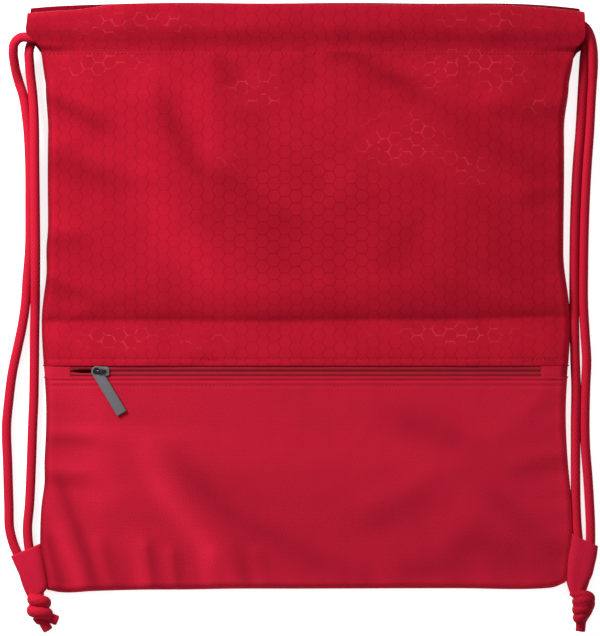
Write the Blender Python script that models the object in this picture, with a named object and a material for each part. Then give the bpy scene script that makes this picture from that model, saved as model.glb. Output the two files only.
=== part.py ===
"""Drawstring backpack lying flat on its back: two cloth bodies, hem casings, a zipped pocket and two drawcords.

Metres, +Z up, mouth towards +Y. The origin is on the surface that the bag lies on, under its middle.
"""

import math

import bmesh
import bpy
from mathutils import Vector

# Cloth and the gap left between pieces that touch
CLOTH = 0.0008
GAP = 0.0003

# Outline of the cloth body, half widths at named heights
HEM_Y = 0.1986
CASING_HEIGHT = 0.0394
BOTTOM_Y = -0.2305
TOP_HALF_WIDTH = 0.2225
SHOULDER_RISE = 0.0174
SHOULDER_HALF_WIDTH = 0.2230
HEM_HALF_WIDTH = 0.2135
NECK_Y = 0.1720
NECK_HALF_WIDTH = 0.2084
WAIST_TOP_Y = 0.1350
WAIST_BOTTOM_Y = 0.0400
WAIST_HALF_WIDTH = 0.2061
CREASE_Y = -0.0168
CREASE_HALF_WIDTH = 0.2117
POCKET_Y = -0.0900
POCKET_HALF_WIDTH = 0.2081
FLARE_Y = -0.1930
FLARE_HALF_WIDTH = 0.2130
BOTTOM_HALF_WIDTH = 0.2075

# Loft of the empty bag
SIDE_FLANK = 0.0170
BOTTOM_FLANK = 0.0200
SIDE_SLIT = 0.0300
CREASE_DEPTH = 0.0020
CREASE_REACH = 0.0110
POCKET_SWELL = 0.0006
POCKET_SWELL_REACH = 0.0150
MAIN_DEPTH_UNDER_POCKET = 0.0066

# Drawcords and the hem casings that they run in
CORD_DIAMETER = 0.0070
CORD_CLEARANCE = 0.0003
RUN_SPACING = 0.0120
LOWER_RUN_RISE = 0.0108
MOUTH_GAP = 0.0050
HEM_EDGE = 0.0022
TOP_ARCH = 0.0060
FRONT_TOP_DROP = 0.0020
TURN_SETBACK = 0.0010
CORD_POINT_STEP = 2.6 * CORD_DIAMETER
CORD_POINT_TURN = math.radians(24)

# Zip
ZIP_Y = -0.0563
WINDOW_HEIGHT = 0.0090
WINDOW_END_INSET = 0.0217
TAPE = 0.0006
TAPE_WIDTH = 0.0135
TAPE_TUCK = 0.0025
ZIP_SPLIT = 0.0013
COIL_WIDTH = 0.0023
COIL_HEIGHT = 0.0018
LINING_RISE_START = 0.0090
LINING_TOP_Y = -0.0385

# Slider and pull
SLIDER_LENGTH = 0.0135
SLIDER_SIDE_CLEARANCE = 0.0004
SLIDER_PLATE = 0.0013
SLIDER_NOSE_WIDTH = 0.0056
POST_LENGTH = 0.0040
BRIDGE_SPAN = 0.0066
BRIDGE_LEG = 0.0015
BRIDGE_CROWN = 0.0013
BRIDGE_HEADROOM = 0.0024
BRIDGE_SINK = 0.0004
PULL_INSET = 0.0206
PULL_LENGTH = 0.0435
PULL_WIDTH = 0.0085
PULL_THICKNESS = 0.0013
PULL_EYE_RADIUS = 0.00275
PULL_LIFT = 0.00035
PULL_YAW = math.radians(31)
PULL_BEVEL = 0.0003

# Corner tabs, as outer and inner plan points from the top edge to the bottom edge
TAB_Z = 0.0003
TAB_SIDE_CLEARANCE = 0.0009
TAB_SEAM_EDGE = 0.0018
LEFT_TAB = (
    ((-0.2334, -0.2006), (-0.2138, -0.1940)),
    ((-0.2300, -0.2170), (-0.2110, -0.2120)),
    ((-0.2270, -0.2290), (-0.2084, -0.2290)),
    ((-0.2266, -0.2380), (-0.2082, -0.2380)),
)
RIGHT_TAB = (
    ((0.2334, -0.1956), (0.2140, -0.1894)),
    ((0.2313, -0.2110), (0.2118, -0.2080)),
    ((0.2280, -0.2240), (0.2092, -0.2265)),
    ((0.2266, -0.2380), (0.2082, -0.2380)),
)

# Swing axes of the cord straps, along the side seams
STRAP_AXIS_BOTTOM = (0.2112, -0.2130)

# Routes of the free cord as x, y and lift: 0 lies on the floor and 1 lies on top of another cord.
# Each exit leaves its hem casing, and each strand goes on to its corner tab.
LEFT_FRONT_EXIT = ((-0.2150, 0.2096, 2.14), (-0.2215, 0.2106, 2.14), (-0.2275, 0.2106, 2.09),
                   (-0.2320, 0.2068, 1.91), (-0.2338, 0.1995, 1.51), (-0.2328, 0.1915, 0.97),
                   (-0.2312, 0.1850, 0.49), (-0.2286, 0.1765, 0.06))
LEFT_FRONT_STRAND = ((-0.2256, 0.1650, 0.00), (-0.2226, 0.1450, 0.00), (-0.2205, 0.1130, 0.00),
                     (-0.2201, 0.0780, 0.00), (-0.2204, 0.0400, 0.00), (-0.2223, 0.0170, 0.00),
                     (-0.2244, -0.0040, 0.00), (-0.2268, -0.0220, 0.00), (-0.2300, -0.0370, 0.00),
                     (-0.2340, -0.0580, 0.00), (-0.2370, -0.0800, 0.00), (-0.2388, -0.0980, 0.00),
                     (-0.2380, -0.1300, 0.00), (-0.2370, -0.1630, 0.00), (-0.2356, -0.1840, 0.06),
                     (-0.2326, -0.1940, 0.11))
LEFT_BACK_EXIT = ((-0.2145, 0.2086, 0.11), (-0.2186, 0.2055, 0.11), (-0.2204, 0.1995, 0.11),
                  (-0.2204, 0.1900, 0.09), (-0.2200, 0.1800, 0.10))
LEFT_BACK_STRAND = ((-0.2192, 0.1660, 0.33), (-0.2185, 0.1560, 0.66), (-0.2178, 0.1430, 0.88),
                    (-0.2173, 0.1130, 0.96), (-0.2167, 0.0780, 0.95), (-0.2164, 0.0400, 0.90),
                    (-0.2165, 0.0170, 0.68), (-0.2167, -0.0040, 0.12), (-0.2167, -0.0220, 0.00),
                    (-0.2174, -0.0580, 0.00), (-0.2176, -0.0800, 0.00), (-0.2182, -0.0980, 0.00),
                    (-0.2195, -0.1300, 0.00), (-0.2210, -0.1630, 0.01), (-0.2220, -0.1840, 0.10))
RIGHT_FRONT_EXIT = ((0.2190, 0.2212, 2.14), (0.2242, 0.2182, 2.11), (0.2276, 0.2120, 1.97),
                    (0.2292, 0.2030, 1.63), (0.2294, 0.1930, 1.03), (0.2294, 0.1850, 0.54),
                    (0.2294, 0.1770, 0.11))
RIGHT_FRONT_STRAND = ((0.2287, 0.1650, 0.00), (0.2272, 0.1330, 0.00), (0.2242, 0.0780, 0.00),
                      (0.2236, 0.0710, 0.00), (0.2232, 0.0280, 0.00), (0.2235, -0.0040, 0.00),
                      (0.2240, -0.0260, 0.00), (0.2248, -0.0480, 0.00), (0.2240, -0.0700, 0.00),
                      (0.2236, -0.0980, 0.00), (0.2240, -0.1140, 0.00), (0.2254, -0.1420, 0.00),
                      (0.2272, -0.1630, 0.00), (0.2280, -0.1820, 0.09))
RIGHT_BACK_EXIT = ((0.2195, 0.2212, 0.11), (0.2246, 0.2180, 0.11), (0.2264, 0.2115, 0.11),
                   (0.2250, 0.2030, 0.10), (0.2234, 0.1950, 0.07), (0.2224, 0.1850, 0.03))
RIGHT_BACK_STRAND = ((0.2212, 0.1650, 0.00), (0.2196, 0.1330, 0.00), (0.2169, 0.0780, 0.00),
                     (0.2162, 0.0710, 0.00), (0.2159, 0.0280, 0.00), (0.2160, -0.0040, 0.00),
                     (0.2162, -0.0260, 0.00), (0.2163, -0.0480, 0.00), (0.2164, -0.0700, 0.00),
                     (0.2161, -0.0980, 0.00), (0.2161, -0.1140, 0.00), (0.2164, -0.1420, 0.00),
                     (0.2176, -0.1630, 0.01), (0.2196, -0.1800, 0.06))
STRAND_END_GAP = 0.0012

# Knots: plan line of the knot, height of its middle, then share of its length and radius along it
KNOT_FLATTEN = 0.74
LEFT_KNOT_LINE = ((-0.2168, -0.2404), (-0.2126, -0.2576))
LEFT_KNOT_PROFILE = ((0.00, 0.0052), (0.08, 0.0078), (0.25, 0.0088), (0.40, 0.0080), (0.56, 0.0099),
                     (0.78, 0.0098), (0.94, 0.0072), (1.00, 0.0036))
LEFT_TAILS = (((-0.2110, -0.2490), (-0.1984, -0.2546)), ((-0.2116, -0.2540), (-0.2062, -0.2636)))
RIGHT_KNOT_LINE = ((0.2168, -0.2402), (0.2196, -0.2600))
RIGHT_KNOT_PROFILE = ((0.00, 0.0050), (0.08, 0.0078), (0.26, 0.0096), (0.46, 0.0092), (0.62, 0.0084),
                      (0.82, 0.0074), (1.00, 0.0060))
RIGHT_TAILS = (((0.2172, -0.2540), (0.2168, -0.2648)), ((0.2220, -0.2520), (0.2216, -0.2632)))

# Derived sizes
TOP_Y = HEM_Y + CASING_HEIGHT
SHOULDER_Y = HEM_Y + SHOULDER_RISE
LOWER_RUN_Y = HEM_Y + LOWER_RUN_RISE
LAYER = CLOTH + GAP
HEM_HEIGHT = CORD_DIAMETER + 2 * CORD_CLEARANCE + 2 * CLOTH
FRONT_HEM_Z = HEM_HEIGHT + MOUTH_GAP
FRONT_Z = FRONT_HEM_Z
BINDING_SEAM_Z = LAYER
FRONT_SEAM_Z = 2 * LAYER
LINING_Z = CLOTH + MAIN_DEPTH_UNDER_POCKET
TAPE_Z = FRONT_Z - GAP - TAPE
LINING_TOP_Z = TAPE_Z - GAP - CLOTH
COIL_Z = TAPE_Z - GAP - COIL_HEIGHT
SLIDER_TOP_Z = FRONT_Z + SLIDER_PLATE
SLIDER_BOTTOM_Z = COIL_Z - GAP - SLIDER_PLATE
PULL_Z = SLIDER_TOP_Z + PULL_LIFT
UPPER_RUN_Y = LOWER_RUN_Y + RUN_SPACING
CORD_RADIUS = CORD_DIAMETER / 2
CORD_BORE = CORD_RADIUS + CORD_CLEARANCE
BACK_RUN_Z = CLOTH + CORD_BORE
FRONT_RUN_Z = FRONT_HEM_Z + BACK_RUN_Z
WINDOW_TOP_Y = ZIP_Y + WINDOW_HEIGHT / 2
WINDOW_BOTTOM_Y = ZIP_Y - WINDOW_HEIGHT / 2
SLIDER_WIDTH = WINDOW_HEIGHT - 2 * SLIDER_SIDE_CLEARANCE
TAB_BORE = CORD_RADIUS + TAB_SIDE_CLEARANCE
TAB_HEIGHT = HEM_HEIGHT
STRAP_AXIS_Z = TAB_Z + TAB_HEIGHT + GAP
TAB_CORD_Z = TAB_Z + BACK_RUN_Z
TAB_CORD_PITCH = CORD_DIAMETER + 3 * GAP
CORD_REST_Z = CORD_RADIUS + GAP

OUTLINE = (
    (BOTTOM_Y, BOTTOM_HALF_WIDTH),
    (FLARE_Y, FLARE_HALF_WIDTH),
    (POCKET_Y, POCKET_HALF_WIDTH),
    (CREASE_Y, CREASE_HALF_WIDTH),
    (WAIST_BOTTOM_Y, WAIST_HALF_WIDTH),
    (WAIST_TOP_Y, WAIST_HALF_WIDTH),
    (NECK_Y, NECK_HALF_WIDTH),
    (HEM_Y, HEM_HALF_WIDTH),
    (SHOULDER_Y, SHOULDER_HALF_WIDTH),
    (TOP_Y, TOP_HALF_WIDTH),
)


def ease(t):
    """Smooth step from 0 to 1, held beyond its ends."""
    t = min(max(t, 0.0), 1.0)
    return t * t * (3 - 2 * t)


def half_width(y):
    """Half width of the cloth at a height, eased between the named heights."""
    for (y0, w0), (y1, w1) in zip(OUTLINE, OUTLINE[1:]):
        if y <= y1:
            return w0 + (w1 - w0) * ease((y - y0) / (y1 - y0))
    return OUTLINE[-1][1]


# Places along the zip, which follow the outline's width there
WINDOW_HALF_LENGTH = half_width(ZIP_Y) - WINDOW_END_INSET
PULL_X = PULL_INSET - WINDOW_HALF_LENGTH
SLIDER_X = PULL_X + BRIDGE_SPAN / 2


def spread(start, stop, count):
    return [start + (stop - start) * i / (count - 1) for i in range(count)]


def material(name, colour, roughness, metallic=0.0):
    made = bpy.data.materials.new(name)
    made.use_nodes = True
    shader = made.node_tree.nodes["Principled BSDF"]
    shader.inputs["Base Color"].default_value = (*colour, 1.0)
    shader.inputs["Roughness"].default_value = roughness
    shader.inputs["Metallic"].default_value = metallic
    return made


def add_mesh(name, points, faces, finish):
    """A named mesh object with its faces turned outwards."""
    mesh = bpy.data.meshes.new(name)
    mesh.from_pydata([tuple(p) for p in points], [], faces)
    editable = bmesh.new()
    editable.from_mesh(mesh)
    bmesh.ops.recalc_face_normals(editable, faces=editable.faces)
    editable.to_mesh(mesh)
    editable.free()
    mesh.materials.append(finish)
    made = bpy.data.objects.new(name, mesh)
    bpy.context.collection.objects.link(made)
    return made


def add_sheet(name, rows, columns, underside, finish, thickness=CLOTH):
    """A closed cloth layer over a grid: columns(y) gives each row's x values."""
    bottom = []
    for y in rows:
        bottom += [(x, y, underside(x, y)) for x in columns(y)]
    across = len(columns(rows[0]))
    count = len(bottom)
    points = bottom + [(x, y, z + thickness) for x, y, z in bottom]
    faces = []
    for r in range(len(rows) - 1):
        for c in range(across - 1):
            a = r * across + c
            cell = (a, a + 1, a + across + 1, a + across)
            faces.append(cell[::-1])
            faces.append(tuple(i + count for i in cell))
    last = (len(rows) - 1) * across
    rim = list(range(across))
    rim += [r * across + across - 1 for r in range(1, len(rows))]
    rim += [last + c for c in range(across - 2, -1, -1)]
    rim += [r * across for r in range(len(rows) - 2, 0, -1)]
    for a, b in zip(rim, rim[1:] + rim[:1]):
        faces.append((a, b, b + count, a + count))
    return add_mesh(name, points, faces, finish)


def add_tunnel(name, outer, inner, finish):
    """A tube with a wall: matching lists of outer and inner rings along its length."""
    rings = outer + inner
    size = len(outer[0])
    points = [p for ring in rings for p in ring]
    faces = []
    for first in (0, len(outer)):
        for r in range(first, first + len(outer) - 1):
            for i in range(size):
                j = (i + 1) % size
                faces.append((r * size + i, r * size + j, (r + 1) * size + j, (r + 1) * size + i))
    for r in (0, len(outer) - 1):
        for i in range(size):
            j = (i + 1) % size
            inside = (r + len(outer)) * size
            faces.append((r * size + i, r * size + j, inside + j, inside + i))
    return add_mesh(name, points, faces, finish)


def add_prism(name, outline, low, high, place, finish):
    """An outline pushed from low to high; place turns (a, b, depth) into a point."""
    count = len(outline)
    points = [place(a, b, low) for a, b in outline] + [place(a, b, high) for a, b in outline]
    faces = [tuple(range(count)), tuple(range(2 * count - 1, count - 1, -1))]
    for i in range(count):
        j = (i + 1) % count
        faces.append((i, j, j + count, i + count))
    return add_mesh(name, points, faces, finish)


def arc(centre, radius, start, stop, steps):
    """Points on a circle from one angle to another, in degrees."""
    found = []
    for angle in spread(math.radians(start), math.radians(stop), steps + 1):
        found.append((centre[0] + radius * math.cos(angle), centre[1] + radius * math.sin(angle)))
    return found


def combine(target, helper, operation):
    """Joins a helper to a piece, or cuts it out, and keeps the helper out of renders."""
    cut = target.modifiers.new(helper.name, "BOOLEAN")
    cut.operation = operation
    cut.object = helper
    helper.hide_render = True
    helper.display_type = "WIRE"
    helper.parent = target.parent


def side_ease(x, y):
    return ease((half_width(y) - abs(x)) / SIDE_FLANK)


def bottom_ease(y):
    return ease((y - BOTTOM_Y) / BOTTOM_FLANK)


def upper_underside(x, y):
    """Underside of the honeycomb panel: a flat top with soft sides, lifted to the casing above the slits."""
    seam = FRONT_SEAM_Z + (FRONT_Z - FRONT_SEAM_Z) * ease((y - HEM_Y + SIDE_SLIT) / SIDE_SLIT)
    crease = CREASE_DEPTH * (1 - ease(abs(y - CREASE_Y) / CREASE_REACH))
    return seam + (FRONT_Z - crease - seam) * side_ease(x, y)


def lower_underside(x, y):
    """Underside of the pocket front: level with the zip, a little fuller below it, down to the bottom seam."""
    swell = POCKET_SWELL * ease((WINDOW_BOTTOM_Y - y) / POCKET_SWELL_REACH)
    return FRONT_SEAM_Z + (FRONT_Z + swell - FRONT_SEAM_Z) * side_ease(x, y) * bottom_ease(y)


def lining_height(y):
    """Underside of the pocket lining: low behind the slider, then up to the seam above the zip."""
    start = ZIP_Y + LINING_RISE_START
    return LINING_Z + (LINING_TOP_Z - LINING_Z) * ease((y - start) / (LINING_TOP_Y - start))


def binding_underside(x, y):
    """Underside of the tape that carries the lining's edge down to the seam."""
    return BINDING_SEAM_Z + (lining_height(y) - BINDING_SEAM_Z) * side_ease(x, y) * bottom_ease(y)


def flank_columns(y):
    """Column positions across a panel: close together down its soft sides, then straight across."""
    width = half_width(y)
    insets = [SIDE_FLANK * t for t in (0.0, 0.2, 0.4, 0.6, 0.8, 1.0)]
    left = [-width + inset for inset in insets]
    return left + [0.0] + [-x for x in reversed(left)]


def make_panels(honeycomb, twill, lining):
    rows = [BOTTOM_Y] + [y for y, _ in OUTLINE[1:-3]] + [HEM_Y - GAP]
    rows = sorted(rows + [-0.212, -0.165, -0.140, 0.012, 0.155, 0.186])
    add_sheet("back_panel", rows, lambda y: (-half_width(y), 0.0, half_width(y)), lambda x, y: 0.0, twill)

    crease = [CREASE_Y + CREASE_REACH * t for t in (-1.0, -0.5, 0.0, 0.5, 1.0)]
    rows = [WINDOW_TOP_Y] + crease + spread(WAIST_BOTTOM_Y, HEM_Y - SIDE_SLIT, 6)
    rows += spread(HEM_Y - SIDE_SLIT, HEM_Y - GAP, 5)[1:]
    add_sheet("front_upper_panel", rows, flank_columns, upper_underside, honeycomb)

    floor_rows = [BOTTOM_Y + BOTTOM_FLANK * t for t in (0.0, 0.25, 0.5, 0.75, 1.0)]
    rows = floor_rows + spread(FLARE_Y, WINDOW_BOTTOM_Y - POCKET_SWELL_REACH, 5) + [WINDOW_BOTTOM_Y]
    add_sheet("front_lower_panel", rows, flank_columns, lower_underside, twill)

    def inner_columns(y):
        inner = half_width(y) - SIDE_FLANK - GAP
        return -inner, 0.0, inner

    fold = ZIP_Y + LINING_RISE_START
    rows = [BOTTOM_Y + BOTTOM_FLANK + GAP] + spread(FLARE_Y, fold, 6)
    add_sheet("pocket_lining", rows, inner_columns, lambda x, y: LINING_Z, lining)
    rows = spread(fold + GAP, LINING_TOP_Y, 4)
    add_sheet("pocket_facing", rows, inner_columns, lambda x, y: lining_height(y), lining)


def make_bindings(finish):
    """Tape from the lining's edges down to the side seams and the bottom seam."""
    shares = (0.0, 0.2, 0.4, 0.6, 0.8, 1.0)
    floor_rows = [BOTTOM_Y + BOTTOM_FLANK * share for share in shares]
    rows = floor_rows + spread(FLARE_Y, ZIP_Y + LINING_RISE_START, 5) + [LINING_TOP_Y]
    for name, side in (("left_side_binding", -1), ("right_side_binding", 1)):
        def columns(y, side=side):
            return sorted(side * (half_width(y) - SIDE_FLANK * share) for share in shares)
        add_sheet(name, rows, columns, binding_underside, finish)

    def inner_columns(y):
        inner = half_width(y) - SIDE_FLANK - GAP
        return -inner, 0.0, inner

    add_sheet("bottom_binding", floor_rows, inner_columns, binding_underside, finish)


def casing_rings(base_z, drop, inset):
    """Rings along a hem casing: a flat wall below, and a wall above that bulges over two cord runs."""
    low_bulge = LOWER_RUN_Y - CORD_BORE - CLOTH
    high_bulge = UPPER_RUN_Y + CORD_BORE + CLOTH
    rings = []
    shares = (-1.0, -0.85, -0.6, -0.3, 0.0, 0.3, 0.6, 0.85, 1.0)
    for share in shares:
        top = TOP_Y - drop - TOP_ARCH * share * share
        section = (
            (HEM_Y + inset, inset),
            (top - inset, inset),
            (top - inset, HEM_EDGE - inset),
            (high_bulge + (CLOTH - inset) * 0.75, HEM_HEIGHT - inset),
            (low_bulge - (CLOTH - inset) * 0.75, HEM_HEIGHT - inset),
            (HEM_Y + inset, HEM_EDGE - inset),
        )
        rings.append([(share * half_width(y), y, base_z + z) for y, z in section])
    return rings


def turn_centre(side):
    """Middle of the turn that takes a cord from the front casing into the back one."""
    y = UPPER_RUN_Y if side < 0 else LOWER_RUN_Y
    bend = (FRONT_RUN_Z - BACK_RUN_Z) / 2
    x = half_width(y) - TURN_SETBACK - bend - CORD_RADIUS
    return Vector((side * x, y, (FRONT_RUN_Z + BACK_RUN_Z) / 2)), bend


def make_casings(finish):
    for name, base_z, drop in (("back_hem_casing", 0.0, 0.0), ("front_hem_casing", FRONT_HEM_Z, FRONT_TOP_DROP)):
        outer = casing_rings(base_z, drop, 0.0)
        inner = casing_rings(base_z, drop, CLOTH)
        casing = add_tunnel(name, outer, inner, finish)
        for side in (-1, 1):
            centre, bend = turn_centre(side)
            notch_end = half_width(centre.y) + CORD_DIAMETER
            outline = ((side * notch_end, centre.y - CORD_BORE - GAP), (side * notch_end, centre.y + CORD_BORE + GAP),
                       (centre.x - side * CORD_RADIUS, centre.y + CORD_BORE + GAP),
                       (centre.x - side * CORD_RADIUS, centre.y - CORD_BORE - GAP))
            notch = add_prism(f"{name}_notch_{'left' if side < 0 else 'right'}", outline,
                              centre.z - bend, centre.z + bend, lambda a, b, d: (a, b, d), finish)
            combine(casing, notch, "DIFFERENCE")


def smooth(route):
    """A dense smooth curve through route points, with tangents weighted by the spans beside each point."""
    route = [Vector(p) for p in route]
    spans = [(b - a).length for a, b in zip(route, route[1:])]
    slopes = [(b - a) / s for a, b, s in zip(route, route[1:], spans)]
    tangents = [slopes[0]]
    for before, after, s0, s1 in zip(slopes, slopes[1:], spans, spans[1:]):
        tangents.append((before * s1 + after * s0) / (s0 + s1))
    tangents.append(slopes[-1])
    dense = [route[0]]
    for i, span in enumerate(spans):
        steps = max(4, int(span / (CORD_DIAMETER / 8)))
        for k in range(1, steps + 1):
            t = k / steps
            dense.append(route[i] * (2 * t**3 - 3 * t**2 + 1) + tangents[i] * span * (t**3 - 2 * t**2 + t)
                         + route[i + 1] * (3 * t**2 - 2 * t**3) + tangents[i + 1] * span * (t**3 - t**2))
    return dense


def thinned(dense):
    """Few enough points of a dense curve: one every so far, and more where it turns."""
    kept = [dense[0]]
    heading = (dense[1] - dense[0]).normalized()
    for here, after in zip(dense[1:], dense[2:]):
        way = (after - here).normalized()
        if (here - kept[-1]).length > CORD_POINT_STEP or way.angle(heading) > CORD_POINT_TURN:
            kept.append(here)
            heading = way
    if (dense[-1] - kept[-1]).length < CORD_RADIUS and len(kept) > 1:
        kept.pop()
    return kept + [dense[-1]]


def add_cord(name, dense, finish):
    points = thinned(dense)
    data = bpy.data.curves.new(name, "CURVE")
    data.dimensions = "3D"
    data.bevel_depth = CORD_RADIUS
    data.bevel_resolution = 2
    data.use_fill_caps = True
    data.materials.append(finish)
    line = data.splines.new("POLY")
    line.points.add(len(points) - 1)
    for spot, point in zip(line.points, points):
        spot.co = (*point, 1.0)
    made = bpy.data.objects.new(name, data)
    bpy.context.collection.objects.link(made)
    return made


def split(dense, *marks):
    """Cuts a dense curve at the points nearest the marks, leaving a gap at each cut."""
    cuts = [min(range(len(dense)), key=lambda i: (dense[i] - mark).length) for mark in marks]
    pieces = []
    starts = [0] + cuts
    ends = cuts + [len(dense) - 1]
    for start, end in zip(starts, ends):
        piece = dense[start:end + 1]
        if start:
            piece = [p for p in piece if (p - dense[start]).length > STRAND_END_GAP]
        pieces.append(piece)
    return pieces


def tab_point(station, inset):
    """Plan point at a distance in from a tab's outer edge."""
    outer, inner = (Vector(p) for p in station)
    return tuple(outer + (inner - outer).normalized() * inset)


def tab_route(stations, order):
    """Route of a cord through a tab, from its top edge to the knot; order 0 is the outer cord."""
    inset = CLOTH + TAB_BORE + order * TAB_CORD_PITCH
    return [Vector((*tab_point(station, inset), TAB_CORD_Z)) for station in stations]


def lifted(route):
    """Route points with each lift turned into a height above the floor."""
    return [Vector((x, y, CORD_REST_Z + lift * CORD_DIAMETER)) for x, y, lift in route]


def make_cord(side_name, side, run_y, routes, tab, finish):
    """One drawcord: knot, up one strand, across both casings and round the far end, down the other strand."""
    front_exit, front_strand, back_exit, back_strand = (lifted(route) for route in routes)
    centre, bend = turn_centre(-side)
    start = side * (half_width(run_y) - CORD_DIAMETER)
    inside = spread(start, centre.x + side * CORD_RADIUS, 12)
    turn = []
    for x, z in arc((0.0, centre.z), bend, 90, -90, 8):
        turn.append((centre.x - side * x, run_y, z))
    route = tab_route(tab, 0)[::-1] + front_strand[::-1] + front_exit[::-1]
    route += [(x, run_y, FRONT_RUN_Z) for x in inside] + turn
    route += [(x, run_y, BACK_RUN_Z) for x in reversed(inside)]
    route += back_exit + back_strand + tab_route(tab, 1)
    front, loop, back = split(smooth(route), front_strand[0], back_strand[0])
    add_cord(f"{side_name}_cord_casing_loop", loop, finish)
    return [add_cord(f"{side_name}_cord_front_strand", front, finish),
            add_cord(f"{side_name}_cord_back_strand", back, finish)]


def make_tab(side_name, stations, finish):
    """A folded loop of cloth over both cords, thin where it is sewn into the side seam."""
    near = CLOTH
    far = CLOTH + 2 * TAB_BORE + TAB_CORD_PITCH
    roof = TAB_HEIGHT - CLOTH
    bore = ((near, CLOTH), (far, CLOTH), (far, TAB_HEIGHT / 2), (far, roof), (near, roof), (near, TAB_HEIGHT / 2))
    outer = []
    inner = []
    for station in stations:
        width = (Vector(station[1]) - Vector(station[0])).length
        shell = ((0.0, 0.0), (width, 0.0), (width, TAB_SEAM_EDGE), (far + CLOTH, TAB_HEIGHT),
                 (CLOTH, TAB_HEIGHT), (0.0, roof))
        outer.append([(*tab_point(station, s), TAB_Z + z) for s, z in shell])
        inner.append([(*tab_point(station, s), TAB_Z + z) for s, z in bore])
    return add_tunnel(f"{side_name}_corner_tab", outer, inner, finish)


def make_knot(name, line, profile, tails, finish):
    """Turned lobes of a pulled knot, flattened where it lies, with two cut cord ends."""
    start, end = (Vector((*p, 0.0)) for p in line)
    along = end - start
    across = Vector((-along.y, along.x, 0.0)).normalized()
    middle_z = TAB_Z + KNOT_FLATTEN * max(radius for _, radius in profile)
    sides = 14
    points = []
    for share, radius in profile:
        for k in range(sides):
            angle = 2 * math.pi * k / sides
            spot = start + along * share + across * radius * math.cos(angle)
            points.append((spot.x, spot.y, middle_z + KNOT_FLATTEN * radius * math.sin(angle)))
    faces = [tuple(range(sides)), tuple(range(len(points) - 1, len(points) - sides - 1, -1))]
    for r in range(len(profile) - 1):
        for k in range(sides):
            j = (k + 1) % sides
            faces.append((r * sides + k, r * sides + j, (r + 1) * sides + j, (r + 1) * sides + k))
    knot = add_mesh(name, points, faces, finish)
    for number, (root, tip) in enumerate(tails):
        way = Vector((*tip, 0.0)) - Vector((*root, 0.0))
        beside = Vector((-way.y, way.x, 0.0)).normalized()
        ring = arc((0.0, TAB_CORD_Z), CORD_RADIUS, 0, 330, 11)
        tail = add_prism(f"{name}_tail_{number + 1}", ring, 0.0, 1.0,
                         lambda a, b, d, root=root, way=way, beside=beside:
                         (root[0] + way.x * d + beside.x * a, root[1] + way.y * d + beside.y * a, b), finish)
        combine(knot, tail, "UNION")
    return knot


def make_strap(side_name, side, run_y, routes, tab, knot, finishes):
    """The swinging side of a drawcord: both strands, the corner tab and the knot, on one pivot."""
    cloth, rope = finishes
    pieces = make_cord(side_name, side, run_y, routes, tab, rope)
    pieces.append(make_tab(side_name, tab, cloth))
    pieces.append(make_knot(f"{side_name}_knot", *knot, rope))
    pivot = bpy.data.objects.new(f"{side_name}_strap_pivot", None)
    pivot.location = (side * STRAP_AXIS_BOTTOM[0], STRAP_AXIS_BOTTOM[1], STRAP_AXIS_Z)
    bpy.context.collection.objects.link(pivot)
    helpers = [cut.object for piece in pieces for cut in piece.modifiers]
    for piece in pieces + helpers:
        piece.parent = pivot
        piece.location = -pivot.location


def make_zip(tape_finish, coil_finish, cover_finish):
    half_length = WINDOW_HALF_LENGTH + TAPE_TUCK
    for name, side in (("upper", 1), ("lower", -1)):
        near = ZIP_Y + side * ZIP_SPLIT / 2
        far = ZIP_Y + side * TAPE_WIDTH
        rows = sorted((near, far))
        add_sheet(f"zip_tape_{name}", rows, lambda y: spread(-half_length, half_length, 3),
                  lambda x, y: TAPE_Z, tape_finish, TAPE)
        middle = near + side * COIL_WIDTH / 2
        ring = arc((0.0, 0.0), 1.0, 0, 315, 7)
        outline = [(middle + COIL_WIDTH / 2 * a, COIL_Z + COIL_HEIGHT / 2 * (1 + b)) for a, b in ring]
        add_prism(f"zip_coil_{name}", outline, -WINDOW_HALF_LENGTH, WINDOW_HALF_LENGTH,
                  lambda a, b, d: (d, a, b), coil_finish)
    for name, side in (("left", -1), ("right", 1)):
        def columns(y, side=side):
            flank = half_width(y) - WINDOW_HALF_LENGTH
            return sorted(side * (WINDOW_HALF_LENGTH + flank * t) for t in (0.0, 0.2, 0.4, 0.6, 0.8, 1.0))
        add_sheet(f"zip_end_cover_{name}", (WINDOW_BOTTOM_Y + GAP, WINDOW_TOP_Y - GAP), columns,
                  upper_underside, cover_finish)


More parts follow.
